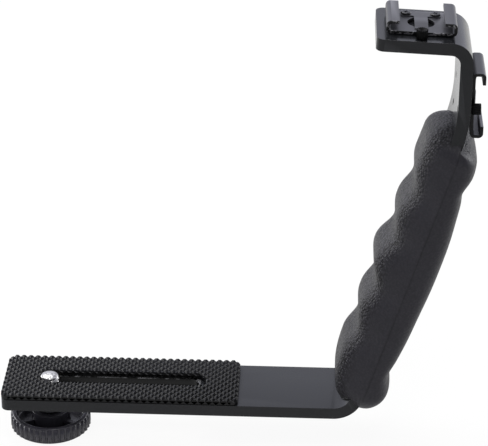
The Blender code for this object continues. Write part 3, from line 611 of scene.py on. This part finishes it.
def pyramidTree():
    tree, given = startTree("padPyramids", {
        "Columns": "Int", "Rows": "Int", "Length": "Float", "Width": "Float", "Middle": "Vector",
        "Cell": "Vector", "Tip share": "Float", "Flank slope": "Float", "Corner radius": "Float",
        "Plate low": "Vector", "Plate high": "Vector", "Slot low": "Vector", "Slot high": "Vector",
        "Slot half width": "Float", "Clear radius": "Float", "Finish": "Material"})
    grid = addNode(tree, "GeometryNodeMeshGrid", inputs={
        "Size X": given["Length"], "Size Y": given["Width"], "Vertices X": given["Columns"],
        "Vertices Y": given["Rows"]})
    moved = addNode(tree, "GeometryNodeTransform", inputs={
        "Geometry": grid.outputs["Mesh"], "Translation": given["Middle"]})
    # a pyramid whose middle lies well inside the slot is left out
    slot = (given["Slot low"], given["Slot high"])
    inSlot = addNode(tree, "FunctionNodeCompare", {"data_type": "FLOAT", "operation": "LESS_THAN"},
                     {0: fromBox(tree, *slot)[1], 1: given["Clear radius"]})
    clear = addNode(tree, "GeometryNodeDeleteGeometry", {"domain": "POINT"}, {
        "Geometry": moved.outputs["Geometry"], "Selection": inSlot.outputs["Result"]})
    pyramid = addNode(tree, "GeometryNodeMeshCone", inputs={
        "Vertices": 4, "Radius Top": given["Tip share"], "Radius Bottom": 1.0, "Depth": 1.0})
    copies = addNode(tree, "GeometryNodeInstanceOnPoints", inputs={
        "Points": clear.outputs["Geometry"], "Instance": pyramid.outputs["Mesh"],
        "Scale": given["Cell"]})
    solid = addNode(tree, "GeometryNodeRealizeInstances", inputs={
        "Geometry": copies.outputs["Instances"]})
    trimmed = pullTo(tree, solid.outputs["Geometry"], (given["Plate low"], given["Plate high"]),
                     "MINIMUM", given["Corner radius"], given["Flank slope"])
    slotted = pullTo(tree, trimmed, slot, "MAXIMUM", given["Slot half width"],
                     given["Flank slope"])
    both = addNode(tree, "GeometryNodeJoinGeometry", inputs={
        "Geometry": [given["Geometry"], slotted]})
    flat = addNode(tree, "GeometryNodeSetShadeSmooth", inputs={
        "Geometry": both.outputs["Geometry"], "Shade Smooth": False})
    return endTree(tree, flat.outputs["Geometry"], given["Finish"])


def makePad():
    size, corner = padSize, padSize["corner"]
    left, right = barSize["freeEnd"], barSize["freeEnd"] + size["length"]
    start, end = screwSize["x"], screwSize["x"] + screwSize["travel"] + size["slotExtra"]
    half, top = barSize["width"] / 2, size["bottom"] + size["sheet"]
    columns = round(2 * size["length"] / size["pitchAlong"])
    rows = round(2 * barSize["width"] / size["pitchAcross"])
    cellAlong, cellAcross = size["length"] / columns, barSize["width"] / rows
    share = size["tip"] / size["pitchAlong"]
    made = looseObject("seatPad", meshFrom(raisedOutline(
        roundedOutline(left, right, -half, half, corner, 10), size["bottom"], top), "seatPad"))
    cutShapes(made, [raisedOutline(slotOutline(start, end, size["slotWidth"]), 0.0, 12 * mm)])
    pyramids = pyramidTree()
    for shift in (0, 1):  # the second lattice stands in the gaps of the first
        runTree(made, pyramids, {
            "Columns": columns // 2 + 1 - shift, "Rows": rows // 2 + 1 - shift,
            "Length": size["length"] - 2 * shift * cellAlong,
            "Width": barSize["width"] - 2 * shift * cellAcross,
            "Middle": ((left + right) / 2, 0.0, top - size["sunk"]),
            "Cell": (cellAlong, cellAcross, size["knurl"] + size["sunk"]), "Tip share": share,
            "Flank slope": size["knurl"] / cellAcross / (1 - share), "Corner radius": corner,
            "Plate low": (left + corner, corner - half, -1.0),
            "Plate high": (right - corner, half - corner, 1.0),
            "Slot low": (start, 0.0, -1.0), "Slot high": (end, 0.0, 1.0),
            "Slot half width": size["slotWidth"] / 2,
            "Clear radius": size["slotWidth"] / 2 - size["clearShare"] * cellAcross,
            "Finish": finishes["pad"]})
    return enterPiece(made, "bracket", "base_pad")


# hand grip: one lofted skin with four finger grooves, moulded round the bar

gripSize = {
    "length": 108.5 * mm, "backLength": 103.6 * mm, "halfWidth": 17.2 * mm,
    "start": 22.74 * mm, "fingerDepth": 9.54 * mm, "fingerTaper": 1.49 * mm,
    "groove": 2.08 * mm, "pitch": 17.9 * mm, "grooves": 4, "grooveSharpness": 1.26,
    "lowestGroove": 30.3 * mm, "palmDepth": 6.94 * mm, "palmTaper": 1.0 * mm,
    "fingerWaves": [(57.15 * mm, 6.5 * mm, 1.3 * mm)],  # place, spread and height of swellings
    "palmWaves": [(55.8 * mm, 25.0 * mm, 2.44 * mm), (11.5 * mm, 5.0 * mm, 1.9 * mm),
                  (95.5 * mm, 4.0 * mm, 0.75 * mm), (89.0 * mm, 3.4 * mm, -0.85 * mm),
                  (72.0 * mm, 9.0 * mm, 0.38 * mm), (33.0 * mm, 8.0 * mm, 0.38 * mm),
                  (19.5 * mm, 4.0 * mm, -0.75 * mm)],
    "bottomCap": 24.1 * mm, "palmBottomCap": 8.5 * mm, "sideBottomCap": 11.0 * mm,
    "topCap": 8.1 * mm, "palmTopCap": 4.9 * mm, "sideTopCap": 8.7 * mm,
    "fingerSquareness": 6.2, "palmSquareness": 3.2, "footSquareness": 2.6, "narrowing": 0.35,
    "around": 96, "endSteps": 24, "middleSteps": 130, "channelGap": 0.12 * mm,
    "seamWidth": 0.03, "seamDepth": 0.008, "lift": 1.2 * mm,
}


def capShare(fromEnd, length, squareness=2.0):
    if fromEnd >= length:
        return 1.0
    return (1 - (1 - max(fromEnd, 0) / length) ** squareness) ** (1 / squareness)


def waves(place, given):
    return sum(height * math.exp(-((place - centre) / spread) ** 2)
               for centre, spread, height in given)


def fingerDepth(place):
    size = gripSize
    first = size["lowestGroove"] - size["pitch"] / 2
    last = first + size["grooves"] * size["pitch"]
    depth = (size["fingerDepth"] + size["groove"] / 2 + waves(place, size["fingerWaves"])
             - size["fingerTaper"] * (place / size["length"] - 0.5))
    if first < place < last:
        wave = 0.5 - 0.5 * math.cos(2 * math.pi * (place - first) / size["pitch"])
        depth -= size["groove"] * wave ** size["grooveSharpness"]
    return (depth * capShare(place - size["lift"], size["bottomCap"], size["footSquareness"])
            * capShare(size["length"] - place, size["topCap"]))


def palmDepth(place):
    size = gripSize
    depth = (size["palmDepth"] + size["palmTaper"] * (place / size["length"] - 0.5)
             + waves(place, size["palmWaves"]))
    return (depth * capShare(place - size["lift"], size["palmBottomCap"])
            * capShare(size["backLength"] - place, size["palmTopCap"]))


def gripHalfWidth(place):
    size = gripSize
    return (size["halfWidth"] * capShare(place - size["lift"], size["sideBottomCap"])
            * capShare(size["length"] - place, size["sideTopCap"]))


def gripSection():
    # shares of depth and half width round the grip, with the mould's seam on both sides
    size, shares = gripSize, []
    for step in range(size["around"]):
        angle = 2 * math.pi * step / size["around"]
        forward, side = math.cos(angle), math.sin(angle)
        power = size["palmSquareness"] if forward > 0 else size["fingerSquareness"]
        reach = (abs(forward) ** power + abs(side) ** power) ** (-1 / power)
        if step % (size["around"] // 2) == size["around"] // 4:
            turn = math.copysign(1, side)
            shares += [(turn * size["seamWidth"], turn), (0.0, turn * (1 - size["seamDepth"])),
                       (-turn * size["seamWidth"], turn)]
        else:
            shares.append((forward * reach, side * reach))
    return shares


def gripRing(place, shares):
    size, lean = gripSize, barSize["lean"]
    centre = Vector((size["start"] + place * math.sin(lean), 0, place * math.cos(lean)))
    ahead = Vector((math.cos(lean), 0, -math.sin(lean)))
    palm, fingers, half = palmDepth(place), fingerDepth(place), gripHalfWidth(place)
    ring = []
    for forward, side in shares:
        across = half * side * (1 + size["narrowing"] * min(forward, 0))
        ring.append(centre + ahead * forward * (palm if forward > 0 else fingers)
                    + Vector((0, across, 0)))
    return ring


def makeGrip():
    size = gripSize
    first, last = size["lift"] + size["sideBottomCap"], size["length"] - size["sideTopCap"]
    places = [first + (last - first) * step / size["middleSteps"]
              for step in range(1, size["middleSteps"])]
    for step in range(1, size["endSteps"] + 1):  # closer together towards both ends
        share = 1 - math.cos(math.pi / 2 * step / size["endSteps"])
        places += [size["lift"] + size["sideBottomCap"] * share,
                   size["length"] - size["sideTopCap"] * share]
    shares = gripSection()
    made = looseObject("handGrip", meshFrom(
        loftRings([gripRing(place, shares) for place in sorted(places)]), "handGrip"))
    joinOrCut(made, [bentStrip("channel", barSize["baseLength"] - barSize["lowerBend"],
                               barLength(5), size["channelGap"], "grip")])
    return finishPiece(made, "grip", "bracket", "hand_grip", 60)


# thumb wheel: a fluted cup with a hub, three ribs and a hexagon pocket for the screw

wheelSize = {
    "radius": 13.5 * mm, "top": -7.25 * mm, "bottom": -13.05 * mm, "wall": 1.9 * mm,
    "floor": 1.4 * mm, "flutes": 38, "fluteRadius": 0.9 * mm, "fluteProud": 0.5 * mm,
    "fluteMargin": 0.55 * mm, "hub": 6.5 * mm, "hubTop": -6.35 * mm, "bore": 1.0 * mm, "ribs": 3,
    "ribThickness": 1.5 * mm, "ribTop": -9.25 * mm, "ribSunk": 0.4 * mm, "ribDeep": 0.7 * mm,
    "ribRound": 0.2 * mm, "round": 0.45 * mm, "hexGap": 0.15 * mm,
}


def filletProfile(corners, radius, steps=5):
    points = []
    for count, (here, rounding) in enumerate(corners):
        before, after = corners[count - 1][0], corners[(count + 1) % len(corners)][0]
        if not rounding or count in (0, len(corners) - 1):
            points.append(here)
            continue
        corner, back, on = Vector(here), Vector(before), Vector(after)
        first = corner + (back - corner).normalized() * radius * rounding
        last = corner + (on - corner).normalized() * radius * rounding
        for share in (step / steps for step in range(steps + 1)):
            points.append(tuple((1 - share) ** 2 * first + 2 * share * (1 - share) * corner
                                + share ** 2 * last))
    return points


def makeWheel():
    size, top, bottom = wheelSize, wheelSize["top"], wheelSize["bottom"]
    outer = size["radius"] - size["fluteProud"]
    cup = size["radius"] - size["wall"]
    floor = bottom + size["floor"]
    hub, hubTop, bore = size["hub"], size["hubTop"], size["bore"]
    profile = filletProfile([((bore, bottom), 0), ((outer, bottom), 1), ((outer, top), 1),
                             ((cup, top), 0.8), ((cup, floor), 1), ((hub, floor), 1),
                             ((hub, hubTop), 0.5), ((bore, hubTop), 0)], size["round"])
    axis = Matrix.Translation((screwSize["x"], 0, 0))
    made = looseObject("thumbWheel", meshFrom(latheRings(profile, 128), "thumbWheel", axis))
    outline = roundedOutline(hub - size["ribSunk"], cup + size["ribSunk"],
                             -size["ribThickness"] / 2, size["ribThickness"] / 2,
                             size["ribRound"], 3)
    for count in range(size["ribs"]):
        turn = axis @ Matrix.Rotation(math.pi / 2 + 2 * math.pi * count / size["ribs"], 4, "Z")
        rib = raisedOutline(outline, floor - size["ribDeep"], size["ribTop"])
        joinOrCut(made, [looseObject("rib", meshFrom(rib, "rib", turn))], "UNION")
    corner = (screwSize["hexFlats"] / 2 + size["hexGap"]) / math.cos(math.pi / 6)
    cutShapes(made, [raisedOutline(roundOutline((0, 0), corner, 6),
                                   screwSize["hexBottom"] - size["hexGap"], 3 * mm)],
              axis @ Matrix.Rotation(math.pi / 6, 4, "Z"))
    smoothTo(made, 35)
    runTree(made, ridges, {
        "Count": size["flutes"], "Ridge radius": size["fluteRadius"],
        "Ridge height": top - bottom - 2 * size["fluteMargin"],
        "Circle radius": size["radius"] - size["fluteRadius"],
        "Middle": (screwSize["x"], 0.0, (top + bottom) / 2), "Turn": (0.0, 0.0, 0.0),
        "Finish": finishes["wheel"]})
    return enterPiece(made, "thumb_screw", "camera_knob")


# camera screw with a cut thread, a plain neck and a hexagon that sits in the hub

screwSize = {
    "x": -79.5 * mm, "travel": 47.0 * mm, "slotWidth": 6.9 * mm, "neckSlotWidth": 5.5 * mm,
    "ledge": 1.2 * mm, "tipTop": 6.85 * mm, "threadRadius": 3.175 * mm, "rootRadius": 2.6 * mm,
    "pitch": 1.27 * mm, "threadBottom": 2.8 * mm, "neckRadius": 2.45 * mm, "neckStep": 0.01 * mm,
    "runOut": 0.1 * mm, "runOutSlope": 1.2, "flankSlope": 2.3, "coneSlope": 0.5,
    "domeRadius": 2.95 * mm, "domeFrom": 5.9 * mm, "domeHeight": 0.96 * mm,
    "tipStep": 0.03 * mm, "tipShare": 0.08, "hexFlats": 8.0 * mm, "hexTop": -6.5 * mm,
    "hexBottom": -9.0 * mm, "hexChamfer": 0.15 * mm, "hexStep": 0.02 * mm, "rows": 60,
    "around": 48,
}


def makeScrew():
    size, neck, bottom = screwSize, screwSize["neckRadius"], screwSize["threadBottom"]

    def ring(height, radiusAt):
        angles = [2 * math.pi * step / size["around"] for step in range(size["around"])]
        return [Vector((radiusAt(angle) * math.cos(angle), radiusAt(angle) * math.sin(angle),
                        height)) for angle in angles]

    def hexagon(angle):
        folded = (angle + math.pi / 6) % (math.pi / 3) - math.pi / 6
        return size["hexFlats"] / 2 / math.cos(folded)

    def plain(angle):
        return neck

    rings = [ring(size["hexBottom"], plain), ring(size["hexBottom"] + size["hexStep"], hexagon),
             ring(size["hexTop"] - size["hexChamfer"], hexagon),
             ring(size["hexTop"], lambda angle: min(hexagon(angle), size["hexFlats"] / 2)),
             ring(size["hexTop"] + size["neckStep"], plain), ring(bottom - size["runOut"], plain)]
    top = size["tipTop"] - size["tipStep"]
    for row in range(size["rows"] + 1):
        height = bottom + (top - bottom) * row / size["rows"]
        rise = max(height - size["domeFrom"], 0) / size["domeHeight"]
        limit = min(size["domeRadius"] * math.sqrt(1 - rise ** 2)
                    + max(size["domeFrom"] - height, 0) * size["coneSlope"],
                    neck + (height - bottom) * size["runOutSlope"] + size["runOut"])

        def thread(angle):
            phase = (height / size["pitch"] - angle / (2 * math.pi)) % 1.0
            share = min(1.0, size["flankSlope"] * abs(phase - 0.5))
            depth = (size["threadRadius"] - size["rootRadius"]) * share
            return min(size["rootRadius"] + depth, limit)

        rings.append(ring(height, thread))
    rings.append(ring(size["tipTop"], lambda angle: size["domeRadius"] * size["tipShare"]))
    made = looseObject("cameraScrew", meshFrom(loftRings(rings), "cameraScrew",
                                               Matrix.Translation((size["x"], 0, 0))))
    return finishPiece(made, "steel", "thumb_screw", "camera_screw", 28)


washerSize = {"outer": 4.7 * mm, "inner": 2.6 * mm, "top": -5.4 * mm, "bottom": -6.2 * mm,
              "round": 0.18 * mm}


def makeWasher():
    size = washerSize
    corner, edge = size["round"], []
    for rim, face, turn in (("outer", "bottom", 3), ("outer", "top", 0), ("inner", "top", 1),
                            ("inner", "bottom", 2)):
        middle = (size[rim] + (-corner if rim == "outer" else corner),
                  size[face] + (corner if face == "bottom" else -corner))
        edge += arcPoints(middle, corner, turn * math.pi / 2, (turn + 1) * math.pi / 2, 4)
    made = looseObject("screwWasher", meshFrom(latheRings(edge, 64, closed=True), "washer",
                                               Matrix.Translation((screwSize["x"], 0, 0))))
    return finishPiece(made, "washer", "screw_lift", "screw_washer")


# accessory shoes: bent channel, leaf spring, two cross-headed screws and the knurled stop

shoeSize = {
    "width": 21.8 * mm, "near": 8.6 * mm, "far": 8.5 * mm, "sheet": 1.0 * mm, "height": 4.2 * mm,
    "lip": 3.9 * mm, "bend": 1.5 * mm, "window": 4.2 * mm, "windowPlace": -0.7 * mm,
    "topFromEnd": 13.7 * mm, "sideDrop": 1.6 * mm, "seatGap": 0.3 * mm, "screwSpacing": 9.2 * mm,
    "screwPlace": 5.2 * mm, "screwHole": 1.05 * mm, "edge": 0.1 * mm,
}


def shoePlace(distance, drop=0.0):
    x, z, heading = barPoint(distance)
    along = Vector((-math.cos(heading), 0, -math.sin(heading)))
    out = Vector((math.sin(heading), 0, -math.cos(heading)))
    rise = barSize["thickness"] / 2 + shoeSize["seatGap"]
    return placeFrom(along, Vector((0, 1, 0)), out, Vector((x, 0, z)) + out * rise + along * drop)


shoePlaces = {"top": shoePlace(barLength() - shoeSize["topFromEnd"]),
              "side": shoePlace(barLength(4), shoeSize["sideDrop"])}


def fixingSpots():  # where the two fixing screws stand on a shoe
    return [(way * shoeSize["screwSpacing"] / 2, shoeSize["screwPlace"]) for way in (-1, 1)]


def shoeSection():
    size = shoeSize
    half, outer, inner = size["width"] / 2, size["bend"], size["bend"] - size["sheet"]
    low, high = (half - outer, outer), (half - outer, size["height"] - outer)
    quarter, steps = math.pi / 2, 10
    outside = arcPoints(low, outer, -quarter, 0, steps) + arcPoints(high, outer, 0, quarter, steps)
    inside = arcPoints(high, inner, quarter, 0, steps) + arcPoints(low, inner, 0, -quarter, steps)
    tip = half - size["lip"]
    right = outside + [(tip, size["height"]), (tip, size["height"] - size["sheet"])] + inside
    return right + [(-a, b) for a, b in reversed(right)]


def makeShoe(side):
    size, place = shoeSize, shoePlaces[side]
    made = looseObject(side + "Shoe", meshFrom(
        raisedOutline(shoeSection(), -size["near"], size["far"], along="Y"), "shoe", place))
    holes = [((0, size["windowPlace"]), size["window"], 48)]
    holes += [(spot, size["screwHole"], 24) for spot in fixingSpots()]
    cutShapes(made, [raisedOutline(roundOutline(*hole), -2 * mm, 2 * mm) for hole in holes], place)
    softenEdges(made, size["edge"])
    return finishPiece(made, "shoe", "bracket", side + "_shoe")


springSize = {
    "bottom": 1.05 * mm, "sheet": 0.3 * mm, "tongue": 4.2 * mm, "crossWidth": 12.4 * mm,
    "crossLength": 3.0 * mm, "tongueLength": 10.2 * mm, "bow": 0.35 * mm, "steps": 36,
    "hole": 1.05 * mm, "edge": 0.06 * mm, "corner": 0.5 * mm,
}


def makeSpring(side):
    size, place = springSize, shoePlaces[side]
    far = shoeSize["screwPlace"] + size["crossLength"] / 2
    near = shoeSize["screwPlace"] - size["crossLength"] / 2
    lower = [(far, size["bottom"])]
    lower += [(near - size["tongueLength"] * step / size["steps"],
               size["bottom"] + size["bow"] * math.sin(math.pi * step / size["steps"]) ** 2)
              for step in range(size["steps"] + 1)]
    outline = lower + [(v, w + size["sheet"]) for v, w in reversed(lower)]
    half = size["crossWidth"] / 2
    made = looseObject(side + "Spring", meshFrom(raisedOutline(outline, -half, half, along="X"),
                                                 "spring", place))
    outlines = []
    for way, spot in zip((-1, 1), fixingSpots()):  # both sides of the tongue, and the holes
        low, high = sorted((way * size["tongue"] / 2, way * (half + 2 * mm)))
        outlines += [roundedOutline(low, high, near - size["tongueLength"] - 4 * mm, near,
                                    size["corner"], 6), roundOutline(spot, size["hole"], 24)]
    cutShapes(made, [raisedOutline(cut, -1 * mm, 4 * mm) for cut in outlines], place)
    softenEdges(made, size["edge"], 2)
    return finishPiece(made, "shoe", "bracket", side + "_spring")


fixingSize = {
    "headRadius": 1.6 * mm, "headBottom": 1.6 * mm, "headTop": 2.05 * mm, "rim": 0.12 * mm,
    "flatShare": 0.7, "crownSteps": 8, "shank": 0.9 * mm, "shankBottom": -3.6 * mm,
    "chamfer": 0.2 * mm, "crossWidth": 0.4 * mm, "crossLength": 0.85 * mm,
    "crossDepth": 0.7 * mm, "crossRound": 0.12 * mm, "crossTurn": 0.5, "topShare": 0.2,
}


def makeFixingScrews(side):
    size, head, bottom = fixingSize, fixingSize["headRadius"], fixingSize["headBottom"]
    rim, crown = bottom + size["rim"], size["headTop"] - bottom - size["rim"]
    profile = [(size["shank"] - size["chamfer"], size["shankBottom"]),
               (size["shank"], size["shankBottom"] + size["chamfer"]), (size["shank"], bottom),
               (head, bottom), (head, rim)]
    for step in range(1, size["crownSteps"]):
        turn = math.pi / 2 * step / size["crownSteps"]
        profile.append((head * (size["flatShare"] + math.cos(turn) * (1 - size["flatShare"])),
                        rim + crown * math.sin(turn)))
    profile.append((head * size["topShare"], size["headTop"]))
    reach, half = size["crossLength"], size["crossWidth"] / 2
    for count, (a, b) in enumerate(fixingSpots()):
        place = shoePlaces[side] @ Matrix.Translation((a, b, 0))
        made = looseObject("%sFixingScrew%d" % (side, count + 1),
                           meshFrom(latheRings(profile, 40), "screw", place))
        recess = []
        for turn in (0, math.pi / 2):
            cross = raisedOutline(
                roundedOutline(-reach, reach, -half, half, size["crossRound"], 3),
                size["headTop"] - size["crossDepth"], size["headTop"] + 1 * mm)
            turn += math.copysign(size["crossTurn"], a)
            bmesh.ops.rotate(cross, matrix=Matrix.Rotation(turn, 3, "Z"), verts=cross.verts)
            recess.append(cross)
        cutShapes(made, recess, place)
        finishPiece(made, "smallScrew", "bracket", "%s_fixing_screw_%d" % (side, count + 1))


stopSize = {
    "place": 10.75 * mm, "radius": 1.8 * mm, "height": 2.9 * mm, "knurls": 16,
    "knurlRadius": 0.22 * mm, "knurlSunk": 0.7, "knurlMargin": 0.05 * mm, "chamfer": 0.2 * mm,
    "crownDrop": 0.04 * mm, "crownShares": (0.6, 1.2), "dish": 0.7 * mm, "dishShare": 0.3,
    "boreGap": 0.15 * mm, "hole": 1.0 * mm, "studRadius": 0.85 * mm, "studTop": 1.5 * mm,
    "studBottom": -4.1 * mm, "studPoint": 0.3 * mm, "studCone": 0.25 * mm, "studRound": 0.05 * mm,
    "pitch": 0.4 * mm, "threadDepth": 0.14 * mm,
}


def makeStop(side):
    size, height, chamfer = stopSize, stopSize["height"], stopSize["chamfer"]
    place = shoePlaces[side] @ Matrix.Translation((0, -size["place"], 0))
    body = size["radius"] - size["knurlRadius"] * size["knurlSunk"]
    gap, bore = size["boreGap"], size["studRadius"] + size["boreGap"]
    outer, inner = size["crownShares"]
    profile = [(bore, size["studTop"] + gap), (bore, 0), (body - chamfer, 0), (body, chamfer),
               (body, height - chamfer), (body - chamfer * outer, height - size["crownDrop"]),
               (body - chamfer * inner, height),
               (body * size["dishShare"], height - size["dish"])]
    made = looseObject(side + "StopHead", meshFrom(latheRings(profile, 44), "stopHead", place))
    smoothTo(made, 30)
    runTree(made, ridges, {
        "Count": size["knurls"], "Ridge radius": size["knurlRadius"],
        "Ridge height": height - size["knurlMargin"],
        "Circle radius": size["radius"] - size["knurlRadius"],
        "Middle": tuple(place @ Vector((0, 0, height / 2))), "Turn": tuple(place.to_euler()),
        "Finish": finishes["stopHead"]})
    enterPiece(made, side + "_stop_turn", side + "_stop_knob")

    radius, bottom, pitch = size["studRadius"], size["studBottom"], size["pitch"]
    outline = [(radius - size["studPoint"], bottom),
               (radius - size["studRound"], bottom + size["studCone"])]
    for turn in range(1, int((size["studTop"] - pitch - bottom) / pitch) + 1):
        crest = bottom + pitch * turn
        outline += [(radius, crest), (radius - size["threadDepth"], crest + pitch / 2)]
    outline.append((radius - size["studRound"], size["studTop"]))
    stud = looseObject(side + "StopStud", meshFrom(latheRings(outline, 28), "stud", place))
    finishPiece(stud, "steel", side + "_stop_rise", side + "_stop_stud", 25)


finishes = {key: plainFinish(name, look) for key, (name, look) in plainLooks.items()}
finishes.update({"bar": bakedEnamel(), "shoe": stovedEnamel(), "grip": gripRubber(),
                 "steel": platedSteel()})
ridges, strips = ridgeTree(), stripTree()

makeBar()
print("flat bar bent and pierced")
makePad()
print("seat pad with its pyramids")
makeGrip()
print("hand grip moulded")
makeWheel()
makeScrew()
makeWasher()
print("thumb wheel, screw and washer")
for side in ("top", "side"):
    makeShoe(side)
    makeSpring(side)
    makeFixingScrews(side)
    makeStop(side)
    print(side, "shoe with spring, screws and stop")

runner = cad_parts["slot_runner"]
runner.data.materials.clear()
runner.data.materials.append(finishes["nylon"])


# plain white table and surroundings; the table keeps the bracket's shadow

tableSize = {"half": 15.0, "height": -13.15 * mm, "tone": "#F2F2F2", "roughness": 0.9,
             "lift": 0.93, "dim": 0.5, "bright": 1.0, "dimFrom": -0.1, "brightFrom": 0.2}


def makeTable():
    half, height = tableSize["half"], tableSize["height"]
    shape = bmesh.new()
    corners = [(-half, -half), (half, -half), (half, half), (-half, half)]
    shape.faces.new([shape.verts.new((a, b, height)) for a, b in corners])
    table = looseObject("tableTop", meshFrom(shape, "tableTop"))
    made = bpy.data.materials.new("paleTable")
    made.use_nodes = True
    tree = made.node_tree
    shader = tree.nodes["Principled BSDF"]
    shader.inputs["Base Color"].default_value = hexColour(tableSize["tone"])
    shader.inputs["Roughness"].default_value = tableSize["roughness"]
    shader.inputs["Specular IOR Level"].default_value = 0.0
    rays = addNode(tree, "ShaderNodeLightPath").outputs
    lifted = addNode(tree, "ShaderNodeMath", {"operation": "MULTIPLY"},
                     {0: rays["Is Camera Ray"], 1: tableSize["lift"]})
    share = lifted.outputs[0]
    for other in (rays["Is Glossy Ray"], rays["Is Transmission Ray"]):
        share = addNode(tree, "ShaderNodeMath", {"operation": "MAXIMUM"},
                        {0: share, 1: other}).outputs[0]
    # reflections find the table brighter behind the bracket than in front of it
    place = addNode(tree, "ShaderNodeTexCoord").outputs["Object"]
    parts = addNode(tree, "ShaderNodeSeparateXYZ", inputs={"Vector": place})
    behind = addNode(tree, "ShaderNodeMapRange", inputs={
        "Value": parts.outputs["Y"], "From Min": tableSize["dimFrom"],
        "From Max": tableSize["brightFrom"], "To Min": tableSize["dim"],
        "To Max": tableSize["bright"]})
    glow = addNode(tree, "ShaderNodeMix", {"data_type": "FLOAT"}, {
        0: rays["Is Glossy Ray"], 2: 1.0, 3: behind.outputs["Result"]})
    white = addNode(tree, "ShaderNodeEmission", inputs={
        "Color": (1, 1, 1, 1), "Strength": glow.outputs[0]})
    mixed = addNode(tree, "ShaderNodeMixShader", inputs={
        0: share, 1: shader.outputs["BSDF"], 2: white.outputs["Emission"]})
    tree.links.new(mixed.outputs["Shader"], tree.nodes["Material Output"].inputs["Surface"])
    table.data.materials.append(made)


lightLook = {"sky": "#FFFFFF", "skyStrength": 0.4, "backdrop": "#EEF0FF", "roomFrom": -0.2,
             "roomTo": 0.6, "roomDim": 0.2, "roomLight": 1.0, "roomSide": 0.3,
             "aim": (0.0, 0.0, 0.06),
             "lamps": [("topSoftbox", (-0.45, 0.5, 1.2), 0.9, 14.0),
                       ("leftSoftbox", (-1.15, 0.6, 0.25), 0.7, 8.0),
                       ("rightSoftbox", (1.0, 0.9, 0.3), 0.6, 4.0),
                       ("frontStrip", (0.1, -0.45, 1.1), 0.25, 2.5)]}


def makeRoom():
    world = bpy.data.worlds.new("softStudio")
    bpy.context.scene.world = world
    world.use_nodes = True
    tree = world.node_tree
    background = tree.nodes["Background"]
    background.inputs["Color"].default_value = hexColour(lightLook["sky"])
    background.inputs["Strength"].default_value = lightLook["skyStrength"]
    rays = addNode(tree, "ShaderNodeLightPath").outputs
    # reflections see the white backdrop behind the bracket, and a dimmer room in front of it
    ahead = addNode(tree, "ShaderNodeVectorMath", {"operation": "DOT_PRODUCT"}, {
        0: addNode(tree, "ShaderNodeTexCoord").outputs["Generated"],
        1: (lightLook["roomSide"], 1.0, 0.0)})
    light = addNode(tree, "ShaderNodeMapRange", {"interpolation_type": "SMOOTHSTEP"}, {
        "Value": ahead.outputs["Value"], "From Min": lightLook["roomFrom"],
        "From Max": lightLook["roomTo"], "To Min": lightLook["roomDim"],
        "To Max": lightLook["roomLight"]})
    mirrored = addNode(tree, "ShaderNodeBackground", inputs={
        "Color": hexColour(lightLook["backdrop"]), "Strength": light.outputs["Result"]})
    white = addNode(tree, "ShaderNodeBackground", inputs={"Color": (1, 1, 1, 1), "Strength": 1.0})
    seen = addNode(tree, "ShaderNodeMath", {"operation": "MAXIMUM"},
                   {0: rays["Is Camera Ray"], 1: rays["Is Transmission Ray"]})
    shown = background.outputs["Background"]
    for share, other in ((rays["Is Glossy Ray"], mirrored), (seen.outputs[0], white)):
        shown = addNode(tree, "ShaderNodeMixShader", inputs={
            0: share, 1: shown, 2: other.outputs["Background"]}).outputs["Shader"]
    tree.links.new(shown, tree.nodes["World Output"].inputs["Surface"])
    for name, place, side, power in lightLook["lamps"]:
        lamp = bpy.data.lights.new(name, "AREA")
        lamp.energy, lamp.size = power, side
        holder = looseObject(name, lamp)
        holder.location = place
        aim = Vector(lightLook["aim"]) - Vector(place)
        holder.rotation_euler = aim.to_track_quat("-Z", "Y").to_euler()


# camera where the photograph was taken from: yaw, pitch and roll in radians

cameraLook = {"place": (8.304 * mm, -650.432 * mm, 398.48 * mm), "yaw": -0.0348343,
              "pitch": 0.4730852, "roll": -0.0074485, "focalPixels": 2259.4728,
              "imageWidth": 488, "nearest": 0.01, "farthest": 40.0}


def makeCamera():
    look = cameraLook
    yaw, pitch, roll = look["yaw"], look["pitch"], look["roll"]
    forward = Vector((math.sin(yaw) * math.cos(pitch), math.cos(yaw) * math.cos(pitch),
                      -math.sin(pitch)))
    level = Vector((math.cos(yaw), -math.sin(yaw), 0))
    down = forward.cross(level)
    rightward = math.cos(roll) * level + math.sin(roll) * down
    downward = math.cos(roll) * down - math.sin(roll) * level
    view = Matrix((rightward, -downward, -forward)).transposed().to_4x4()
    view.translation = Vector(look["place"])
    lens = bpy.data.cameras.new("photoCamera")
    lens.sensor_fit = "HORIZONTAL"
    lens.lens = lens.sensor_width * look["focalPixels"] / look["imageWidth"]
    lens.clip_start, lens.clip_end = look["nearest"], look["farthest"]
    camera = looseObject("photoCamera", lens)
    camera.matrix_world = view
    bpy.context.scene.camera = camera


makeTable()
makeRoom()
makeCamera()
bpy.context.scene.view_settings.view_transform = "Standard"
print("table, lights and camera set")
